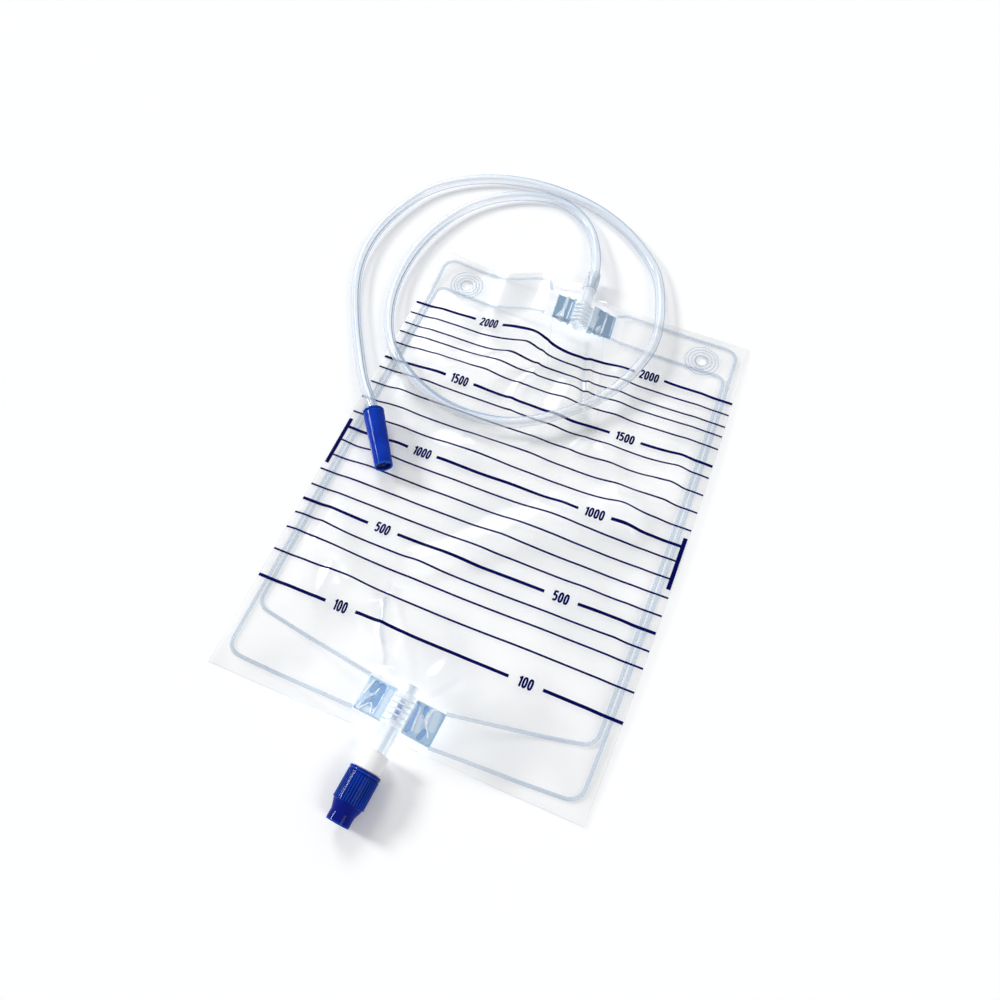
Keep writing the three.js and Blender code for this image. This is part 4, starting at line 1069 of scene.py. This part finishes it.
def fittingSide(port, sides, step, side):
    across = np.arange(-fitting["halfWidth"], fitting["halfWidth"] + step / 2, step)
    along = np.arange(-fittingEnd, fittingEnd + step / 2, step)
    u, v = np.meshgrid(across, along)
    wings, deep, pale = wingTop(port, sides, u, v)
    middle, ridgeMask = middleTop(port, u, v)
    inMiddle = plateau(u, fitting["wingInner"], 0.35)
    top = np.maximum(np.where(np.abs(u) > fitting["wingInner"], wings, 0), middle)
    ends = plateau(v, fittingEnd - 1.4, 0.6)
    masks = {
        # deep: painted shade in the wells and between the rings
        "deep": np.maximum(deep * (1 - inMiddle), inMiddle * (1 - ridgeMask) * port["between"] * ends),
        # pale: painted highlights on the lines, pads and ring tops
        "pale": np.maximum(pale * (1 - inMiddle), inMiddle * np.maximum(0.95 * ridgeMask, port["lightness"])),
        # core: the bore's painted dark shade between the rings
        "core": plateau(u + 0.04 * v, 0.6, 1.7) * (1 - ridgeMask) ** 0.7 * port["core"]
        * plateau(v, 2.5, 5.5),
        "thin": np.maximum(inMiddle * 0.3 * (1 - ridgeMask), 2 * smooth(-u - port["clearFrom"])),
        "sky": np.full_like(u, port["sky"]),
    }
    points = np.stack([u, v, side * np.maximum(top, 0.02)], -1).reshape(-1, 3)
    faces = gridFaces(len(along), len(across))
    if side < 0:
        faces = [face[::-1] for face in faces]
    return points, faces, {key: np.ravel(mask) for key, mask in masks.items()}


def streaked(port, profile, sides=60):     # a clear spout, with painted light and shade bands along its wall
    points, faces = turned(softened(profile, 0.3), sides)
    angles = np.tile(np.linspace(0, 2 * math.pi, sides, endpoint=False), len(points) // sides)
    band = smooth((np.cos(6 * angles + 0.4) + 0.5 * np.cos(3 * angles) - 0.2) / 0.6)
    return points, faces, {"deep": 0.4 * band, "pale": 0.97 - 0.4 * band, "thin": 0.5, "sky": port["sky"]}


def mouldedFitting(port, place, sides, name, node):
    heap = Heap()
    for side, step in ((1, wing["step"]), (-1, wing["under"])):
        points, faces, masks = fittingSide(port, sides, step, side)
        heap.add(placed(place, points), faces, **masks)
    if "stub" in port:
        inside = -fittingEnd - port["stub"]
        stub = [(port["bore"], inside), (port["bore"] + 0.6, inside), (port["bore"] + 0.6, -fittingEnd),
                (port["bore"], -fittingEnd)]
        points, faces = turned(softened(stub, 0.15), 40)
        # painted shade on one side of the stub, paler elsewhere
        shade = np.ravel(smooth((points[:, 2] / port["bore"] - 0.7) / 0.5))
        heap.add(placed(place, points), faces, deep=0.5 * shade, pale=0.95 - 0.55 * shade, thin=0.6)
    radius, end = port["spoutRadius"], port["spoutEnd"]
    spout = [(port["bore"], fittingEnd - 0.4), (radius, fittingEnd - 0.4), (radius, end), (port["bore"], end)]
    points, faces, masks = streaked(port, spout)
    heap.add(placed(place, points), faces, **masks)
    if "spigotRadius" in port:
        tip, slim = end + port["spigotLength"], port["spigotRadius"]
        spigot = [(port["bore"], end - 0.4), (slim, end - 0.4), (slim, tip), (port["bore"], tip)]
        points, faces = turned(softened(spigot, 0.2), 40)
        heap.add(placed(place, points), faces, pale=0.85, core=0.16, thin=0.4)
    piece = heap.piece(name, ["fitting"], "bag", "clear_fitting", [node], bend=50)
    piece.visible_shadow = False           # the light goes through it


mouldedFitting(inlet, inletPlace, inletWings, "inlet_fitting", "inlet_port")
mouldedFitting(outlet, outletPlace, outletWings, "outlet_fitting", "outlet_port")

cuff = {"length": 14.4, "shoulder": 9.5, "hole": 3.55, "wall": 0.5, "flare": 0.65}


def inletCuff():
    start, tip = inlet["spoutEnd"] + film["gap"], inlet["spoutEnd"] + inlet["spigotLength"]
    outer = cuff["hole"] + cuff["wall"]
    inside = inlet["spigotRadius"] + film["gap"]
    profile = [
        (inside, start), (outer + cuff["flare"], start), (outer + cuff["flare"], start + cuff["shoulder"]),
        (outer, start + cuff["length"]), (cuff["hole"], start + cuff["length"]), (cuff["hole"], tip),
        (inside, tip),
    ]
    points, faces = turned(softened(profile, 0.25), 48)
    turn = np.array(inletPlace.to_3x3())
    outward = points * (1, 0, 1) / np.hypot(points[:, 0], points[:, 2])[:, None]
    # painted light and shade bands along the cuff's wall, as on the hose
    band = 0.8 * wallBands(outward @ turn.T, turn[:, 1][None])
    return makePiece("inlet_cuff_clear", placed(inletPlace, points), faces, ["tube"], "bag",
                     ["inlet_cuff"], masks={"band": band})


inletCuff()
print("fittings")


valve = {
    "start": 22.8, "collarEnd": 32.6, "collarRadius": 7.3, "neckRadius": 6.1, "neckBore": 4.8,
    "neckEnd": 46.2, "pinLength": 6, "plug": 2, "plugTip": 1.1, "plugEnd": 48.6, "tip": 50.2,
    "spoke": (1.2, 3), "spokeAt": 42.2,
}
twistCap = {
    "start": 32.9, "lipEnd": 35.1, "gripEnd": 49.9, "coneEnd": 54.9, "end": 60.1,
    "grip": 8.5, "lip": 8.6, "cone": 7.75, "nozzle": 6.3, "nozzleBore": 5.1, "ribs": 36, "groove": 0.34,
    "neckRoom": 6.4, "seat": 46.8, "seatEnd": 48.3, "plugRoom": 2.3, "sealRoom": 7.6, "sealStart": 44.2,
    "sides": 10,
}


def valveCollar():
    heap = Heap()
    shell = [
        (outlet["spoutRadius"] + 0.3, valve["start"]), (valve["collarRadius"] - 0.5, valve["start"]),
        (valve["collarRadius"], valve["start"] + 0.6), (valve["collarRadius"], valve["collarEnd"]),
        (valve["neckRadius"], valve["collarEnd"]), (valve["neckRadius"], valve["neckEnd"]),
        (valve["neckBore"], valve["neckEnd"]), (valve["neckBore"], outlet["spoutEnd"] + 0.3),
        (outlet["spoutRadius"] + 0.3, outlet["spoutEnd"] + 0.3),
    ]
    heap.add(*turned(softened(shell, 0.35), 72))
    pinStart = valve["neckEnd"] - valve["pinLength"]
    pin = [(0.01, pinStart), (valve["plug"], pinStart), (valve["plug"], valve["plugEnd"]),
           (valve["plugTip"], valve["tip"]), (0.01, valve["tip"])]
    heap.add(*turned(softened(pin, 0.25), 32, closed=False))
    thick, deep = valve["spoke"]
    for turn in (0, 90):
        spin = Matrix.Rotation(math.radians(turn), 3, "Y")
        for side in (-1, 1):
            reach = np.linspace(valve["plug"] - 0.3, valve["neckBore"] + 0.3, 4) * side
            section = [(-thick / 2, -deep / 2), (thick / 2, -deep / 2), (thick / 2, deep / 2),
                       (-thick / 2, deep / 2)]
            points = [spin @ Vector((r, valve["spokeAt"] + b, a)) for r in reach for a, b in section]
            heap.add(np.array(points), gridFaces(4, 4, loopColumns=True))
    heap.points = placed(outletPlace, heap.points).tolist()
    return heap.piece("valve_collar", ["white"], "bag", "white_collar", ["valve_body"])


def gripFade(out):                         # 1 along the grip, 0 past its two ends
    return np.clip(np.minimum((out - twistCap["lipEnd"]) / 0.5, (twistCap["gripEnd"] - out) / 0.5), 0, 1)


def gripRib(angles, out):                  # 1 on a rib's top, 0 in a groove
    return smooth(0.5 + np.cos(angles * twistCap["ribs"]) * 1.2) * gripFade(out)


def gripReach(radius, out, angles):
    on = twistCap["lipEnd"] < out < twistCap["gripEnd"] and radius > twistCap["cone"]
    return radius - twistCap["groove"] * (gripFade(out) - gripRib(angles, out)) * on


def valveTwistCap():
    cap = twistCap
    lipEnd, gripEnd, grip, cone = (cap[key] for key in ("lipEnd", "gripEnd", "grip", "cone"))
    lip = softened([
        (cap["neckRoom"], cap["start"]), (cap["lip"] - 0.35, cap["start"]), (cap["lip"], cap["start"] + 0.5),
        (cap["lip"], lipEnd - 0.5), (grip - 0.3, lipEnd - 0.35), (grip - 0.3, lipEnd), (grip, lipEnd + 0.1),
    ], 0.2)
    ribbed = [(grip, out) for out in np.linspace(lipEnd + 0.1, gripEnd - 0.1, 9)[1:-1]]
    nozzle = softened([
        (grip, gripEnd - 0.1), (cone + 0.25, gripEnd + 0.15), (cone, gripEnd + 0.9),
        (cap["nozzle"] + 0.15, cap["coneEnd"] - 0.5), (cap["nozzle"], cap["coneEnd"] + 0.2),
        (cap["nozzle"], cap["end"]), (cap["nozzleBore"], cap["end"]), (cap["nozzleBore"], cap["seatEnd"]),
        (cap["plugRoom"], cap["seatEnd"]), (cap["plugRoom"], cap["seat"]), (cap["sealRoom"], cap["seat"]),
        (cap["sealRoom"], cap["sealStart"]), (cap["neckRoom"], cap["sealStart"]),
    ], 0.3)
    outside = stepped(lip + ribbed + nozzle, 1.0)
    sides = cap["ribs"] * cap["sides"]
    points, faces = turned(outside, sides, shape=gripReach)
    angles = np.linspace(0, 2 * math.pi, sides, endpoint=False)
    # painted highlights on rib tops, the nozzle rim and a line below the lip
    edge = [0.5 * gripRib(angles, out) * (radius > cone + 0.3) + 0.8 * (out > cap["end"] - 0.35)
            + 0.7 * (lipEnd - 0.8 < out < lipEnd - 0.4 and radius > cone) for radius, out in outside]
    # painted shade in the nozzle's bore and the groove under the lip
    recess = [float(radius < cap["nozzleBore"] + 0.1 and out > cap["seat"])
              + 0.6 * (lipEnd - 0.36 < out < lipEnd + 0.05 and radius > cone) for radius, out in outside]
    masks = {"edge": np.concatenate(edge), "recess": np.repeat(recess, sides)}
    return makePiece("valve_twist_cap", placed(outletPlace, points), faces, ["valveBlue"], "twist_cap",
                     ["valve_cap"], masks=masks, bend=32)


sealSection = [(6.4, 44.9), (6.55, 44.5), (7.15, 44.5), (7.3, 44.7), (7.3, 46.0), (7.15, 46.2), (6.55, 46.2),
               (6.4, 45.8)]


def sealRing():
    points, faces = turned(softened(sealSection, 0.1), 48)
    return makePiece("seal_ring", placed(outletPlace, points), faces, ["seal"], "seal_carrier",
                     ["valve_seal"])


valveCollar()
valveTwistCap()
sealRing()
print("drain valve")


studio = {
    "floorSize": 3.0, "floorDrop": 0.0004, "glow": 0.05,
    "key": {"power": 1.8, "from": (-0.856, 0.05, 0.515), "size": 13},
    "top": {"power": 0.8, "from": (-0.45, 0.60, 0.66), "size": 20},
    "front": {"power": 0.7, "from": (0.68, -0.20, 0.70), "size": 24},
    "horizon": 0.17, "zenith": 0.43, "tint": (0.96, 0.98, 1.0),
}


def floorPiece():
    size, drop = studio["floorSize"] / 2, -studio["floorDrop"]
    corners = [(-size, -size, drop), (size, -size, drop), (size, size, drop), (-size, size, drop)]
    mesh = bpy.data.meshes.new("floor")
    mesh.from_pydata(corners, [], [(0, 1, 2, 3)])
    floor = bpy.data.objects.new("floor", mesh)
    bpy.context.collection.objects.link(floor)
    paint = Paint("floorWhite", {"Roughness": 0.9, "Specular IOR Level": 0.0,
                                 "Emission Color": (1, 1, 1, 1), "Emission Strength": studio["glow"]})
    paper = paint.clouds(0.6, 2)
    paint.feed(Base_Color=paint.mix(paper, (0.985, 0.985, 0.985), (1.0, 1.0, 1.0)))
    mesh.materials.append(paint.material)


def softLamp(name):
    look = studio[name]
    light = bpy.data.lights.new(name + "Light", "SUN")
    light.energy, light.angle = look["power"], math.radians(look["size"])
    made = bpy.data.objects.new(name + "Light", light)
    made.rotation_euler = (-Vector(look["from"])).to_track_quat("-Z", "Y").to_euler()
    bpy.context.collection.objects.link(made)


def worldLight():                          # dimmer towards the horizon, white where seen or mirrored
    world = bpy.data.worlds.new("studio")
    bpy.context.scene.world = world
    sky = NodeSet(world)
    up = sky.node("ShaderNodeSeparateXYZ", None, {0: sky.node("ShaderNodeTexCoord")}, 2)
    level = sky.node("ShaderNodeMapRange", None, {
        "Value": up, "To Min": studio["horizon"], "To Max": studio["zenith"]})
    colour = sky.node("ShaderNodeVectorMath", {"operation": "SCALE"}, {0: studio["tint"], "Scale": level})
    dim = sky.node("ShaderNodeBackground", None, {"Color": colour, "Strength": 1})
    white = sky.node("ShaderNodeBackground", None, {"Color": (1, 1, 1, 1), "Strength": 1})
    seen = sky.node("ShaderNodeLightPath", out="Is Camera Ray")
    for kind in ("Is Glossy Ray", "Is Transmission Ray"):
        seen = seen.math("MAXIMUM", seen, sky.node("ShaderNodeLightPath", out=kind))
    mixed = sky.node("ShaderNodeMixShader", None, {0: seen, 1: dim, 2: white})
    sky.tree.links.new(mixed.socket, sky.tree.nodes["World Output"].inputs["Surface"])


floorPiece()
for name in ("key", "top", "front"):
    softLamp(name)
worldLight()
bpy.context.scene.view_settings.view_transform = "Standard"
print("floor and light")
